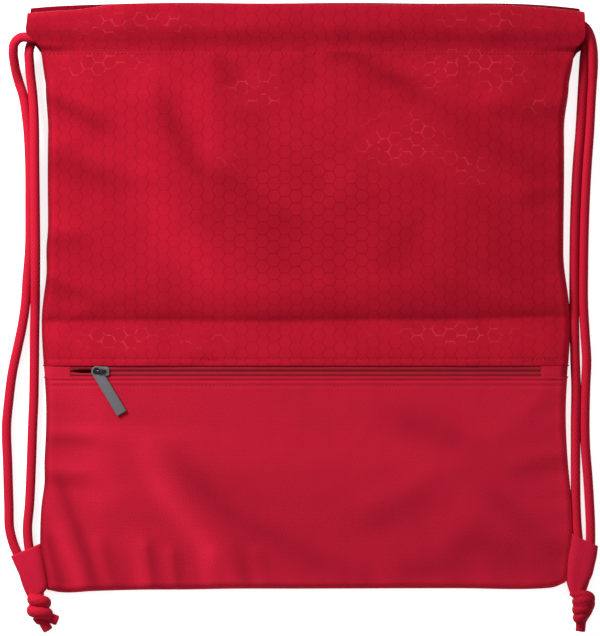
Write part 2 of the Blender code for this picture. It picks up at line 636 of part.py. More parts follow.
def make_slider(finish):
    """Slider with two plates, the post between them and a bridge, and its pull hung on the bridge's left leg."""
    half = SLIDER_LENGTH / 2
    wide = SLIDER_WIDTH / 2
    nose = SLIDER_NOSE_WIDTH / 2
    plate = ((-half, -wide), (0.0, -wide), (half, -nose), (half, nose), (0.0, wide), (-half, wide))
    height = FRONT_Z - SLIDER_BOTTOM_Z

    def flat(a, b, d):
        return a, b, d

    slider = add_prism("zip_slider", plate, 0.0, SLIDER_PLATE, flat, finish)
    lower = add_prism("zip_slider_lower_plate", plate, -height, SLIDER_PLATE - height, flat, finish)
    post_half = ZIP_SPLIT / 2 - GAP
    post_outline = ((-half, -post_half), (POST_LENGTH - half, -post_half), (POST_LENGTH - half, post_half),
                    (-half, post_half))
    post = add_prism("zip_slider_post", post_outline, SLIDER_PLATE / 2 - height, SLIDER_PLATE / 2, flat, finish)
    reach = BRIDGE_SPAN / 2 + BRIDGE_LEG / 2
    inside = reach - BRIDGE_LEG
    crown = SLIDER_PLATE + BRIDGE_HEADROOM
    shoulder = BRIDGE_CROWN
    outline = [(reach, SLIDER_PLATE - BRIDGE_SINK)]
    outline += arc((reach - shoulder, crown), BRIDGE_CROWN, 0, 90, 4)
    outline += arc((shoulder - reach, crown), BRIDGE_CROWN, 90, 180, 4)
    outline += [(-reach, SLIDER_PLATE - BRIDGE_SINK), (-inside, SLIDER_PLATE - BRIDGE_SINK), (-inside, crown),
                (inside, crown), (inside, SLIDER_PLATE - BRIDGE_SINK)]
    bridge = add_prism("zip_slider_bridge", outline, -BRIDGE_LEG / 2, BRIDGE_LEG / 2,
                       lambda a, b, d: (a, d, b), finish)
    for helper in (lower, post, bridge):
        combine(slider, helper, "UNION")
        helper.parent = slider
    slider.location = (SLIDER_X, ZIP_Y, FRONT_Z)
    return slider


def make_pull(slider, finish):
    """A flat bar with a round eye; its origin is on the bridge leg that it turns about."""
    half = PULL_WIDTH / 2
    straight = PULL_LENGTH - half
    outline = arc((0.0, 0.0), half, 0, 180, 12) + [(-half, -straight), (half, -straight)]
    pull = add_prism("zip_pull", outline, 0.0, PULL_THICKNESS, lambda a, b, d: (a, b, d), finish)
    eye = add_prism("zip_pull_eye", arc((0.0, 0.0), PULL_EYE_RADIUS, 0, 345, 23), -PULL_THICKNESS,
                    2 * PULL_THICKNESS, lambda a, b, d: (a, b, d), finish)
    combine(pull, eye, "DIFFERENCE")
    soften = pull.modifiers.new("soften", "BEVEL")
    soften.width = PULL_BEVEL
    soften.segments = 1
    eye.parent = pull
    pull.parent = slider
    pull.location = (PULL_X - SLIDER_X, 0.0, PULL_Z - FRONT_Z)
    pull.rotation_euler = (0.0, 0.0, PULL_YAW)


for old in list(bpy.data.objects):
    bpy.data.objects.remove(old, do_unlink=True)

honeycomb_cloth = material("honeycomb_cloth", (0.47, 0.010, 0.028), 0.55)
twill_cloth = material("twill_cloth", (0.52, 0.014, 0.036), 0.75)
lining_cloth = material("lining_cloth", (0.36, 0.010, 0.022), 0.80)
binding_tape = material("binding_tape", (0.42, 0.010, 0.026), 0.80)
cord_braid = material("cord_braid", (0.62, 0.012, 0.030), 0.70)
zip_tape = material("zip_tape", (0.15, 0.014, 0.022), 0.75)
zip_coil = material("zip_coil", (0.10, 0.008, 0.014), 0.45)
gunmetal = material("gunmetal", (0.16, 0.155, 0.165), 0.35, 1.0)

make_panels(honeycomb_cloth, twill_cloth, lining_cloth)
make_bindings(binding_tape)
make_casings(honeycomb_cloth)
make_zip(zip_tape, zip_coil, twill_cloth)
make_pull(make_slider(gunmetal), gunmetal)
make_strap("left", -1, LOWER_RUN_Y, (LEFT_FRONT_EXIT, LEFT_FRONT_STRAND, LEFT_BACK_EXIT, LEFT_BACK_STRAND),
           LEFT_TAB, (LEFT_KNOT_LINE, LEFT_KNOT_PROFILE, LEFT_TAILS), (twill_cloth, cord_braid))
make_strap("right", 1, UPPER_RUN_Y, (RIGHT_FRONT_EXIT, RIGHT_FRONT_STRAND, RIGHT_BACK_EXIT, RIGHT_BACK_STRAND),
           RIGHT_TAB, (RIGHT_KNOT_LINE, RIGHT_KNOT_PROFILE, RIGHT_TAILS), (twill_cloth, cord_braid))
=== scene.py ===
"""A drawstring backpack that lies flat on its back: cloth, zip, cords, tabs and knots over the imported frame."""

import math

import bmesh
import bpy
import numpy as np
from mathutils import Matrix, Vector, noise


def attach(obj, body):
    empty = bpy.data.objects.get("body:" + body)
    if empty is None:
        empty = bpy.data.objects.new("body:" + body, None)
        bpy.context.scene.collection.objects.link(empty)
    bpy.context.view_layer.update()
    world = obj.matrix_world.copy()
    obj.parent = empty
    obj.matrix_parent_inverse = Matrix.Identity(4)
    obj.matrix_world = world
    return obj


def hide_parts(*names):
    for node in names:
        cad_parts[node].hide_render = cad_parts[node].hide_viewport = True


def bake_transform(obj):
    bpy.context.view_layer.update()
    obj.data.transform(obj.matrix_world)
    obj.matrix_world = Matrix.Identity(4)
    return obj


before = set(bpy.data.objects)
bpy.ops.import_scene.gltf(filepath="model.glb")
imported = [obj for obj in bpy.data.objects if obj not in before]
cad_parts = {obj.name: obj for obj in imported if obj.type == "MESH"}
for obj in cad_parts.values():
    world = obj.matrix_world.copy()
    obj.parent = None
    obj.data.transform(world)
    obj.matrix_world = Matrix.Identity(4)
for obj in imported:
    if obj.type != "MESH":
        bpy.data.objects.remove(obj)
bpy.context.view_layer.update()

# Sizes repeated from the part's source, in metres
MM = 0.001
CLOTH = 0.0008
HEM_Y = 0.1986
TOP_Y = 0.2380
BOTTOM_Y = -0.2305
SIDE_SLIT = 0.0300
FRONT_TOP_Z = 0.0150
ZIP_Y = -0.0563
WINDOW_TOP_Y = -0.0518
WINDOW_BOTTOM_Y = -0.0608
WINDOW_HALF_LENGTH = 0.1880
LOWER_RUN_Y = 0.2094
UPPER_RUN_Y = 0.2214
BACK_RUN_Z = 0.0046
FRONT_RUN_Z = 0.0188
CORD_DIAMETER = 0.0070
CORD_RADIUS = CORD_DIAMETER / 2
BRAID_RADIUS = 0.0039
LEAD_RADIUS = 0.0031
CORD_REST_Z = 0.0038
TAB_CORD_Z = 0.0049
TURN_RADIUS = 0.0071
TURN_CENTRE = {1: 0.2083, -1: -0.2114}
OUTLINE = ((-0.2305, 0.2075), (-0.1930, 0.2130), (-0.0900, 0.2081), (-0.0168, 0.2117), (0.0400, 0.2061),
           (0.1350, 0.2061), (0.1720, 0.2084), (0.1986, 0.2135), (0.2160, 0.2230), (0.2380, 0.2225))


# ---------------------------------------------------------------- small helpers
def ease(t):
    t = np.clip(t, 0.0, 1.0)
    return t * t * (3 - 2 * t)


def span_at(xs, q):
    """Which span of the positions xs each q falls in, and how far along it, from 0 to 1."""
    i = np.clip(np.searchsorted(xs, q, side="right") - 1, 0, len(xs) - 2)
    return i, (q - xs[i]) / (xs[i + 1] - xs[i])


def hermite(a, b, leave, arrive, t):
    """Cubic from a to b as t goes from 0 to 1, with its slopes at both ends."""
    return (a * (2 * t**3 - 3 * t**2 + 1) + leave * (t**3 - 2 * t**2 + t)
            + b * (3 * t**2 - 2 * t**3) + arrive * (t**3 - t**2))


def bell(distance, run):
    return np.exp(-(distance / run) ** 2)


def half_width(y):
    ys, widths = np.array(OUTLINE).T
    i, t = span_at(ys, np.clip(y, ys[0], ys[-1]))
    return widths[i] + (widths[i + 1] - widths[i]) * ease(t)


# Unevenness of each side's sewn edge: size, middle and run of its bumps, and where its lower corner rounds off
EDGE_BUMPS = {
    -1: ((-0.0021, 0.1960, 0.0115), (0.0010, 0.2160, 0.0070), (-0.0014, 0.2070, 0.0045), (0.0008, 0.1000, 0.0450),
         (0.0017, 0.0390, 0.0140), (-0.0013, -0.1460, 0.0120)),
    1: ((0.0016, -0.2215, 0.0130), (0.0030, 0.2065, 0.0062), (0.0020, 0.1740, 0.0190), (0.0007, 0.1100, 0.0450),
        (0.0010, -0.1720, 0.0220)),
}
CORNER_Y = {-1: -0.2286, 1: -0.2280}
CORNER_RADIUS = 0.0030
CORNER_CUT = 0.8 * CORNER_RADIUS


def edge_reach(y, side):
    """How far the sewn cloth reaches to one side at y: the outline, with the small unevenness of each side."""
    y = np.asarray(y, float)
    bumps = sum(size * bell(y - middle, run) for size, middle, run in EDGE_BUMPS[side])
    past = np.clip((CORNER_Y[side] - y) / CORNER_RADIUS, 0.0, 1.0)
    return half_width(y) + bumps - CORNER_CUT * (1 - np.sqrt(np.maximum(0.0, 1 - past**2)))


def from_side(x, y):
    """Distance in from the nearer side's sewn edge."""
    return np.where(np.asarray(x) < 0, edge_reach(y, -1), edge_reach(y, 1)) - np.abs(x)


def through(points, q):
    """Smooth curve through (position, value) points, at q."""
    xs, values = np.array(points, float).T
    slopes = np.gradient(values, xs)
    i, t = span_at(xs, np.clip(q, xs[0], xs[-1]))
    run = xs[i + 1] - xs[i]
    return hermite(values[i], values[i + 1], slopes[i] * run, slopes[i + 1] * run, t)


def ripple(x, y, scale, seed):
    """Smooth noise over the cloth, about -1 to 1, with features of that size in metres."""
    x, y = np.broadcast_arrays(np.asarray(x, float), np.asarray(y, float))
    made = [noise.noise((a / scale, b / scale, seed)) for a, b in zip(x.ravel(), y.ravel())]
    return np.reshape(made, x.shape)


def add_mesh(name, points, faces, material, coords=None, corner=None, painted_shading=None):
    """A smooth mesh with cloth coordinates on its points or its corners, and its painted light and shade on its points.
    """
    mesh = bpy.data.meshes.new(name)
    mesh.from_pydata([tuple(map(float, p)) for p in points], [], [tuple(map(int, f)) for f in faces])
    if coords is not None:
        layer = mesh.attributes.new("cloth", "FLOAT_VECTOR", "POINT")
        flat = np.zeros((len(points), 3))
        coords = np.asarray(coords, float).reshape(len(points), -1)
        flat[:, :coords.shape[1]] = coords
        layer.data.foreach_set("vector", flat.ravel())
    if corner is not None:
        layer = mesh.attributes.new("cloth", "FLOAT_VECTOR", "CORNER")
        layer.data.foreach_set("vector", np.asarray(corner, float).ravel())
    # painted light and shade, as a share of brightness on each point
    if painted_shading is not None:
        mesh.attributes.new("painted_shading", "FLOAT", "POINT").data.foreach_set("value", np.asarray(painted_shading, float).ravel())
    mesh.polygons.foreach_set("use_smooth", [True] * len(mesh.polygons))
    mesh.materials.append(material)
    mesh.validate()
    mesh.update()
    return add_object(name, mesh)


def add_object(name, data):
    made = bpy.data.objects.new(name, data)
    bpy.context.collection.objects.link(made)
    return made


def grid_coords(points):
    """Distances along a grid's rows and columns, from its middle, as flat cloth coordinates."""
    along = np.zeros(points.shape[:2])
    up = np.zeros(points.shape[:2])
    along[:, 1:] = np.cumsum(np.linalg.norm(np.diff(points, axis=1), axis=2), axis=1)
    up[1:] = np.cumsum(np.linalg.norm(np.diff(points, axis=0), axis=2), axis=0)
    middle = points.shape[1] // 2
    along -= along[:, middle:middle + 1]
    return np.stack([along, np.repeat(up[:, middle:middle + 1], points.shape[1], axis=1)], axis=2)


def add_grid(name, points, material, coords=None, keep=None, thickness=CLOTH, offset=-1.0, painted_shading=None):
    """A sheet over a grid of points, rows by columns; keep says which of its quads stay."""
    rows, columns = points.shape[:2]
    index = np.arange(rows * columns).reshape(rows, columns)
    quads = np.stack([index[:-1, :-1], index[:-1, 1:], index[1:, 1:], index[1:, :-1]], axis=2)
    faces = quads.reshape(-1, 4) if keep is None else quads[keep]
    coords = grid_coords(points) if coords is None else coords
    used = np.unique(faces)
    renumber = np.full(rows * columns, -1)
    renumber[used] = np.arange(len(used))
    painted_shading = None if painted_shading is None else np.asarray(painted_shading).ravel()[used]
    made = add_mesh(name, points.reshape(-1, 3)[used], renumber[faces], material, coords.reshape(-1, 2)[used], painted_shading=painted_shading)
    if thickness:
        thick = made.modifiers.new("cloth thickness", "SOLIDIFY")
        thick.thickness = thickness
        thick.offset = offset
        settle(made)
    return made


def settle(made):
    """Applies the modifiers of a piece to its mesh."""
    graph = bpy.context.evaluated_depsgraph_get()
    mesh = bpy.data.meshes.new_from_object(made.evaluated_get(graph), preserve_all_data_layers=True, depsgraph=graph)
    old = made.data
    made.modifiers.clear()
    made.data = mesh
    mesh.name = made.name
    bpy.data.meshes.remove(old)


def smooth_route(route, step=0.0011):
    """Dense smooth curve through route points, as the part's source makes it."""
    route = [Vector(p) for p in route]
    spans = [(b - a).length for a, b in zip(route, route[1:])]
    slopes = [(b - a) / s for a, b, s in zip(route, route[1:], spans)]
    tangents = [slopes[0]]
    for before, after, s0, s1 in zip(slopes, slopes[1:], spans, spans[1:]):
        tangents.append((before * s1 + after * s0) / (s0 + s1))
    tangents.append(slopes[-1])
    dense = [route[0]]
    for i, span in enumerate(spans):
        steps = max(3, int(span / step))
        for k in range(1, steps + 1):
            dense.append(hermite(route[i], route[i + 1], tangents[i] * span, tangents[i + 1] * span, k / steps))
    return dense


def tube_faces(rings, sides, base=0):
    """Quads between rings of points, then the caps of the first and the last ring."""
    faces = []
    for low in range(base, base + (rings - 1) * sides, sides):
        high = low + sides
        faces += [(low + k, high + k, high + (k + 1) % sides, low + (k + 1) % sides) for k in range(sides)]
    last = base + (rings - 1) * sides
    return faces + [tuple(range(base, base + sides)), tuple(range(last, last + sides))[::-1]]


# Soft rim of a cut cord: distance past the cut and size of each ring, in radii, and how much the cut darkens it
CUT_RIM = ((0.10, 0.97), (0.17, 0.88), (0.20, 0.70), (0.17, 0.40), (0.14, 0.05))
CUT_SHADE = 0.9


def tube_parts(path, radii, sides=14, flatten=1.0, cut=False):
    """Points, faces and corner coordinates of a tube along a path; a cut far end closes flat with a soft rim."""
    path = [Vector(p) for p in path]
    radii = [radii] * len(path) if isinstance(radii, float) else list(radii)
    ways = [(path[min(i + 1, len(path) - 1)] - path[max(i - 1, 0)]).normalized() for i in range(len(path))]
    upright = Vector((0, 0, 1)) if abs(ways[0].z) < 0.9 else Vector((1, 0, 0))
    side = ways[0].cross(upright).normalized()
    stations = []
    run = 0.0
    for i, (spot, way) in enumerate(zip(path, ways)):
        side = (side - way * side.dot(way)).normalized()
        if i:
            run += (spot - path[i - 1]).length
        stations.append((spot, way, side.copy(), radii[i], run, 0.0))
    if cut:
        spot, way, across, radius, run, _ = stations[-1]
        stations += [(spot + way * radius * d, way, across, radius * r, run + radius * d, CUT_SHADE)
                     for d, r in CUT_RIM]
    points, corner = [], []
    for spot, way, across, radius, *_ in stations:
        up = across.cross(way)
        for k in range(sides):
            angle = 2 * math.pi * k / sides
            points.append(spot + across * radius * math.cos(angle) + up * radius * flatten * math.sin(angle))
    for here, ahead in zip(stations, stations[1:]):
        for k in range(sides):
            for station, turn in ((here, k), (ahead, k), (ahead, k + 1), (here, k + 1)):
                corner.append((station[4], turn / sides, station[5]))
    for end in (stations[0], stations[-1]):
        corner += [(end[4], 0.5, 1.0)] * sides
    return points, tube_faces(len(stations), sides), corner


def add_tube(name, tubes, material, painted_shading=0.0):
    """One object of several tubes, each the result of tube_parts, with one share of painted shade."""
    points, faces, corner = [], [], []
    for more, quads, spots in tubes:
        base = len(points)
        points += more
        faces += [tuple(base + i for i in face) for face in quads]
        corner += spots
    return add_mesh(name, points, faces, material, corner=corner, painted_shading=[painted_shading] * len(points))


# ---------------------------------------------------------------- materials
class Finish:
    """A material's node tree, built from sockets and numbers."""

    def __init__(self, name, **constants):
        self.material = bpy.data.materials.new(name)
        self.material.use_nodes = True
        self.tree = self.material.node_tree
        self.shader = self.tree.nodes["Principled BSDF"]
        for socket, value in constants.items():
            self.shader.inputs[socket.replace("_", " ")].default_value = value

    def node(self, kind, inputs=None, **settings):
        made = self.tree.nodes.new(kind)
        for key, value in settings.items():
            setattr(made, key, value)
        for key, value in (inputs or {}).items():
            self.put(made.inputs[key], value)
        return made

    def put(self, socket, value):
        if isinstance(value, bpy.types.NodeSocket):
            self.tree.links.new(value, socket)
        else:
            socket.default_value = value

    def math(self, operation, a, b=0.0, c=0.0):
        return self.node("ShaderNodeMath", {0: a, 1: b, 2: c}, operation=operation).outputs[0]

    def times(self, a, b):
        return self.math("MULTIPLY", a, b)

    def scaled(self, value, by, plus):
        return self.math("MULTIPLY_ADD", value, by, plus)

    def both(self, a, share_a, b, share_b):
        """Two heights together, each with its share."""
        return self.math("ADD", self.times(a, share_a), self.times(b, share_b))

    def vector(self, operation, a, b=(0, 0, 0), c=(0, 0, 0)):
        made = self.node("ShaderNodeVectorMath", {0: a, 1: b}, operation=operation)
        if operation == "WRAP":
            self.put(made.inputs[2], c)
        return made.outputs[1] if operation in ("LENGTH", "DOT_PRODUCT") else made.outputs[0]

    def join(self, x, y=0.0):
        return self.node("ShaderNodeCombineXYZ", {0: x, 1: y}).outputs[0]

    def range(self, value, low, high, to_low=0.0, to_high=1.0):
        made = self.node("ShaderNodeMapRange", {"Value": value, "From Min": low, "From Max": high,
                                                "To Min": to_low, "To Max": to_high},
                         interpolation_type="SMOOTHSTEP")
        return made.outputs[0]

    def mix(self, share, a, b):
        return self.node("ShaderNodeMix", {0: share, 6: a, 7: b}, data_type="RGBA").outputs[2]

    def over(self, ground, tint, share, most):
        """A ground with a tint mixed over it, by a share of at most that much."""
        return self.mix(self.times(share, most), ground, tint)

    def noise(self, vector, scale, detail):
        inputs = {"Vector": vector, "Scale": scale, "Detail": detail, "Roughness": 0.55}
        return self.node("ShaderNodeTexNoise", inputs).outputs[0]

    def patches(self, vector, scale, detail):
        """0 to 1 in soft patches."""
        return self.range(self.noise(vector, scale, detail), 0.3, 0.7)

    def cloth(self):
        return self.node("ShaderNodeAttribute", attribute_name="cloth").outputs["Vector"]

    def place(self):
        return self.node("ShaderNodeTexCoord").outputs["Object"]

    def with_painted_shading(self, ground):
        """A colour made lighter or darker by painted light and shade laid along folds, seams and edges."""
        painted_shading = self.node("ShaderNodeAttribute", attribute_name="painted_shading").outputs["Fac"]
        gain = self.math("ADD", painted_shading, 1.0)
        return self.node("ShaderNodeVectorMath", {0: ground, 3: gain}, operation="SCALE").outputs[0]

    def wave(self, turns):
        return self.scaled(self.math("SINE", turns), 0.5, 0.5)

    def waves(self, vector, direction, period):
        """0 to 1 stripes across a direction in the cloth's plane."""
        along = self.vector("DOT_PRODUCT", vector, direction)
        return self.wave(self.times(along, 2 * math.pi / period))

    def finish(self, colour, roughness=None, height=None, depth=0.0002, strength=1.0):
        self.put(self.shader.inputs["Base Color"], colour)
        if roughness is not None:
            self.put(self.shader.inputs["Roughness"], roughness)
        if height is not None:
            bump = self.node("ShaderNodeBump", {"Height": height, "Distance": depth, "Strength": strength})
            self.tree.links.new(bump.outputs[0], self.shader.inputs["Normal"])
        return self.material


def colour(r, g, b):
    return (r, g, b, 1.0)


def dimmed(tint, share):
    return colour(*(c * share for c in tint[:3]))


ALONG, UP = (1, 0, 0), (0, 1, 0)
RED_GLOSS = colour(1.0, 0.16, 0.22)


def red_cloth(name, gloss, sheen, softness, tint):
    """Dyed cloth: a faint red gloss and a soft red sheen."""
    return Finish(name, Specular_Tint=RED_GLOSS, Specular_IOR_Level=gloss, Sheen_Weight=sheen,
                  Sheen_Roughness=softness, Sheen_Tint=tint)


HEXAGON_SIDE = 0.00588
# Soft ovals on the upper panel: where the hexagons show crisp and painted darker, as in shade, and where their lines
# carry a painted highlight
CRISP_ZONE = ((0.002, 0.066, 0.100, 0.090),)
PAINTED_HIGHLIGHT_ZONES = (
    (-0.160, 0.185, 0.056, 0.020), (-0.037, 0.169, 0.032, 0.022), (0.131, 0.183, 0.070, 0.027),
    (0.074, 0.130, 0.052, 0.032), (0.123, 0.103, 0.032, 0.024), (-0.053, 0.111, 0.026, 0.012),
    (-0.141, 0.221, 0.076, 0.014), (0.155, 0.223, 0.066, 0.014), (-0.125, -0.030, 0.085, 0.014),
    (0.115, -0.026, 0.085, 0.012), (0.187, 0.154, 0.020, 0.014),
)


def honeycomb_finish():
    """Plain weave with a jacquard of hexagon outlines, glossier than the ground, with painted shade and painted
    highlights on its lines.
    """
    f = red_cloth("honeycomb jacquard", 0.025, 0.02, 0.45, colour(1.0, 0.10, 0.16))
    cloth = f.cloth()
    place = f.place()
    half = (1.5 * HEXAGON_SIDE, math.sqrt(3) / 2 * HEXAGON_SIDE, 0.5)
    low = tuple(-c for c in half)

    def reach(spot):
        """Distance from a cell's middle, and how far its flat sides lead over its slanted ones."""
        spot = f.vector("MULTIPLY", f.vector("ABSOLUTE", f.vector("WRAP", spot, half, low)), (1, 1, 0))
        slanted = f.vector("DOT_PRODUCT", spot, (math.sqrt(3) / 2, 0.5, 0))
        flat_side = f.vector("DOT_PRODUCT", spot, UP)
        return f.math("MAXIMUM", flat_side, slanted), f.math("SUBTRACT", flat_side, slanted)

    def zone(ovals):
        """1 inside soft ovals on the bag, each given by its middle and half sizes in metres."""
        best = 0.0
        for x, y, wide, high in ovals:
            away = f.vector("MULTIPLY", f.vector("SUBTRACT", place, (x, y, 0)), (1 / wide, 1 / high, 0))
            best = f.math("MAXIMUM", best, f.range(f.vector("LENGTH", away), 0.40, 1.0, 1.0, 0.0))
        return best

    (far_one, lead_one), (far_two, lead_two) = reach(cloth), reach(f.vector("ADD", cloth, half))
    nearest = f.math("MINIMUM", far_one, far_two)
    first = f.math("LESS_THAN", far_one, far_two)
    lead = f.scaled(first, f.math("SUBTRACT", lead_one, lead_two), lead_two)
    on_flat = f.range(lead, -0.0004, 0.0006)
    crisp = zone(CRISP_ZONE)
    line = f.range(f.math("SUBTRACT", half[1], nearest), 0.00014, 0.00070, 1.0, 0.0)
    faded = f.times(f.math("SUBTRACT", 1.0, crisp), f.times(on_flat, 0.62))
    dark_line = f.times(line, f.math("SUBTRACT", 1.0, faded))
    broken = f.range(f.noise(cloth, 190.0, 2.0), 0.34, 0.60)
    highlight_patch = f.times(zone(PAINTED_HIGHLIGHT_ZONES), f.range(f.noise(cloth, 24.0, 2.0), 0.34, 0.56))
    weave = f.times(f.waves(cloth, ALONG, 0.00052), f.waves(cloth, UP, 0.00060))
    grain = f.noise(cloth, 1500.0, 2.0)
    ground = f.mix(f.patches(cloth, 34.0, 4.0), colour(0.347, 0.0066, 0.0190), colour(0.392, 0.0078, 0.0225))
    ground = f.over(ground, colour(0.292, 0.0050, 0.0145), grain, 0.35)
    # the hexagon lines darker than the ground, with painted shade deepening them in the crisp zone
    ground = f.over(ground, colour(0.215, 0.0030, 0.0095), dark_line, f.scaled(crisp, 0.12, 0.44))
    # painted highlight on the lines in patches, where they would catch the lamp
    ground = f.over(ground, colour(0.56, 0.032, 0.056), f.times(line, broken), f.times(highlight_patch, 0.74))
    height = f.both(weave, 0.35, line, 0.65)
    return f.finish(f.with_painted_shading(ground), f.scaled(line, -0.22, 0.66), height, 0.00012, 0.7)


def twill_finish(name, light, dark):
    """Coarse cloth whose diagonal ribs cross in a fine diaper."""
    f = red_cloth(name, 0.025, 0.04, 0.5, colour(1.0, 0.12, 0.20))
    cloth = f.cloth()
    lean = math.radians(52.0)
    wobble = f.scaled(f.noise(cloth, 420.0, 2.0), 0.0009, -0.00045)
    spot = f.vector("ADD", cloth, f.join(wobble, wobble))
    one, two = (f.waves(spot, (way * math.cos(lean), math.sin(lean), 0), 0.00165) for way in (1, -1))
    rib = f.math("MAXIMUM", one, f.times(two, 0.8))
    ground = f.mix(rib, dark, light)
    ground = f.over(ground, dimmed(light, 0.86), f.patches(cloth, 28.0, 4.0), 0.45)
    ground = f.over(ground, dimmed(dark, 0.70), f.noise(cloth, 1300.0, 2.0), 0.22)
    height = f.both(rib, 0.75, f.waves(cloth, UP, 0.00048), 0.25)
    return f.finish(f.with_painted_shading(ground), f.scaled(rib, -0.10, 0.74), height, 0.00020, 0.9)


def plain_finish(name, light, dark):
    f = Finish(name, Specular_IOR_Level=0.25, Sheen_Weight=0.05)
    cloth = f.cloth()
    weave = f.times(f.waves(cloth, ALONG, 0.0006), f.waves(cloth, UP, 0.0006))
    ground = f.over(f.mix(f.patches(cloth, 40.0, 3.0), dark, light), dimmed(dark, 0.7), weave, 0.25)
    return f.finish(ground, f.scaled(weave, -0.08, 0.72), weave, 0.0001, 0.6)


def cord_finish():
    """Round braid: two families of strands that cross, on corner coordinates of length, turn and cut."""
    f = red_cloth("braided cord", 0.10, 0.05, 0.4, colour(1.0, 0.10, 0.16))
    length, around, cut = f.node("ShaderNodeSeparateXYZ", {0: f.cloth()}).outputs
    run = f.times(length, 2 * math.pi / 0.0044)
    turn = f.times(around, 2 * math.pi * 8)
    braid = f.math("MAXIMUM", f.wave(f.math("ADD", run, turn)), f.wave(f.math("SUBTRACT", run, turn)))
    fibre = f.noise(f.join(f.times(length, 900.0), f.times(around, 60.0)), 1.0, 3.0)
    drift = f.patches(f.join(f.times(length, 30.0)), 1.0, 2.0)
    ground = f.mix(f.range(braid, 0.15, 0.85), colour(0.415, 0.0075, 0.0235), colour(0.520, 0.0110, 0.0330))
    ground = f.over(ground, colour(0.37, 0.0062, 0.0200), fibre, 0.30)
    ground = f.over(ground, colour(0.55, 0.0130, 0.0390), drift, 0.18)
    ground = f.over(ground, colour(0.13, 0.0120, 0.0200), cut, 0.6)
    height = f.both(braid, 0.8, fibre, 0.2)
    return f.finish(f.with_painted_shading(ground), f.scaled(braid, -0.10, 0.74), height, 0.00022, 0.55)


def rib_finish():
    """Tape of the corner tabs, with fine ribs along it."""
    f = red_cloth("ribbed tab cloth", 0.10, 0.05, 0.5, colour(1.0, 0.14, 0.20))
    cloth = f.cloth()
    rib = f.waves(cloth, ALONG, 0.00130)
    cross = f.waves(cloth, UP, 0.00055)
    ground = f.mix(rib, colour(0.47, 0.0095, 0.0330), colour(0.60, 0.0150, 0.0500))
    ground = f.over(ground, colour(0.50, 0.0110, 0.0350), f.patches(cloth, 90.0, 3.0), 0.30)
    ground = f.over(ground, colour(0.36, 0.0070, 0.0220), cross, 0.14)
    height = f.both(rib, 0.75, cross, 0.25)
    return f.finish(f.with_painted_shading(ground), f.scaled(rib, -0.10, 0.76), height, 0.00016, 0.7)


def tape_finish():
    f = Finish("zip tape", Specular_IOR_Level=0.08, Sheen_Weight=0.02)
    cloth = f.cloth()
    warp = f.waves(cloth, UP, 0.0008)
    knit = f.waves(cloth, (0.8, 0.6, 0), 0.0007)
    ground = f.mix(warp, colour(0.205, 0.0050, 0.0130), colour(0.335, 0.0120, 0.0270))
    ground = f.over(ground, colour(0.230, 0.0050, 0.0130), f.patches(cloth, 120.0, 3.0), 0.4)
    return f.finish(ground, f.scaled(warp, -0.12, 0.62), f.times(warp, knit), 0.00012, 0.7)


def coil_finish():
    f = Finish("zip coil", Specular_IOR_Level=0.45)
    streak = f.noise(f.cloth(), 600.0, 2.0)
    ground = f.mix(streak, colour(0.080, 0.0065, 0.0110), colour(0.130, 0.0110, 0.0170))
    return f.finish(ground, f.scaled(streak, 0.15, 0.32), streak, 0.00005, 0.4)


def metal_finish(name, light, dark, rough, brushed, metallic=0.85):
    """Plated metal: fine brushing between a light and a dark tone, with darker blotches."""
    f = Finish(name, Metallic=metallic, Specular_IOR_Level=0.5)
    spot = f.place()
    streak = f.noise(f.vector("MULTIPLY", spot, brushed), 1.0, 4.0)
    ground = f.mix(f.range(streak, 0.25, 0.75), dark, light)
    ground = f.over(ground, dark, f.noise(spot, 260.0, 3.0), 0.3)
    return f.finish(ground, f.scaled(streak, 0.16, rough), streak, 0.00003, 0.35)


def thread_finish(name, light, dark):
    f = Finish(name, Specular_IOR_Level=0.3, Sheen_Weight=0.05)
    twist = f.waves(f.cloth(), (0.7, 0.7, 0), 0.0005)
    return f.finish(f.mix(twist, dark, light), f.scaled(twist, -0.1, 0.66), twist, 0.00006, 0.6)


def floor_finish():
    f = Finish("white sweep", Roughness=0.9, Specular_IOR_Level=0.1, Emission_Color=colour(1, 1, 1),
               Emission_Strength=0.72)
    tone = f.patches(f.place(), 3.0, 2.0)
    return f.finish(f.mix(tone, colour(0.93, 0.93, 0.935), colour(0.95, 0.95, 0.95)))


HONEYCOMB = honeycomb_finish()
TWILL = twill_finish("twill cloth", colour(0.540, 0.0134, 0.0388), colour(0.352, 0.0082, 0.0222))
# The back cloth's red is set darker than the front's: painted shade for its hem strip, which shows in the gap above the
# front hem
BACK_TWILL = twill_finish("back cloth", colour(0.460, 0.0070, 0.0270), colour(0.365, 0.0040, 0.0180))
LINING = plain_finish("lining cloth", colour(0.36, 0.010, 0.022), colour(0.29, 0.0075, 0.0170))
CORD = cord_finish()
RIB = rib_finish()
TAPE = tape_finish()
COIL = coil_finish()
# One slider metal in two tones: the darker is painted shade, on the bridge, the post and the disc under the pull's eye;
# the lighter is painted light, on the plates
SHADED_SLIDER_METAL = metal_finish("slider metal in painted shade", colour(0.085, 0.083, 0.090), colour(0.022, 0.021, 0.024), 0.20,
                        (180, 700, 180))
LIT_SLIDER_METAL = metal_finish("slider metal in painted light", colour(0.380, 0.360, 0.375), colour(0.170, 0.160, 0.168), 0.24,
                            (300, 900, 300))
PULL_METAL = metal_finish("satin pull", colour(0.140, 0.137, 0.150), colour(0.114, 0.112, 0.123), 0.66,
                          (1500, 1500, 1500), metallic=0.40)
THREAD = thread_finish("red thread", colour(0.36, 0.0030, 0.0150), colour(0.25, 0.0016, 0.0090))


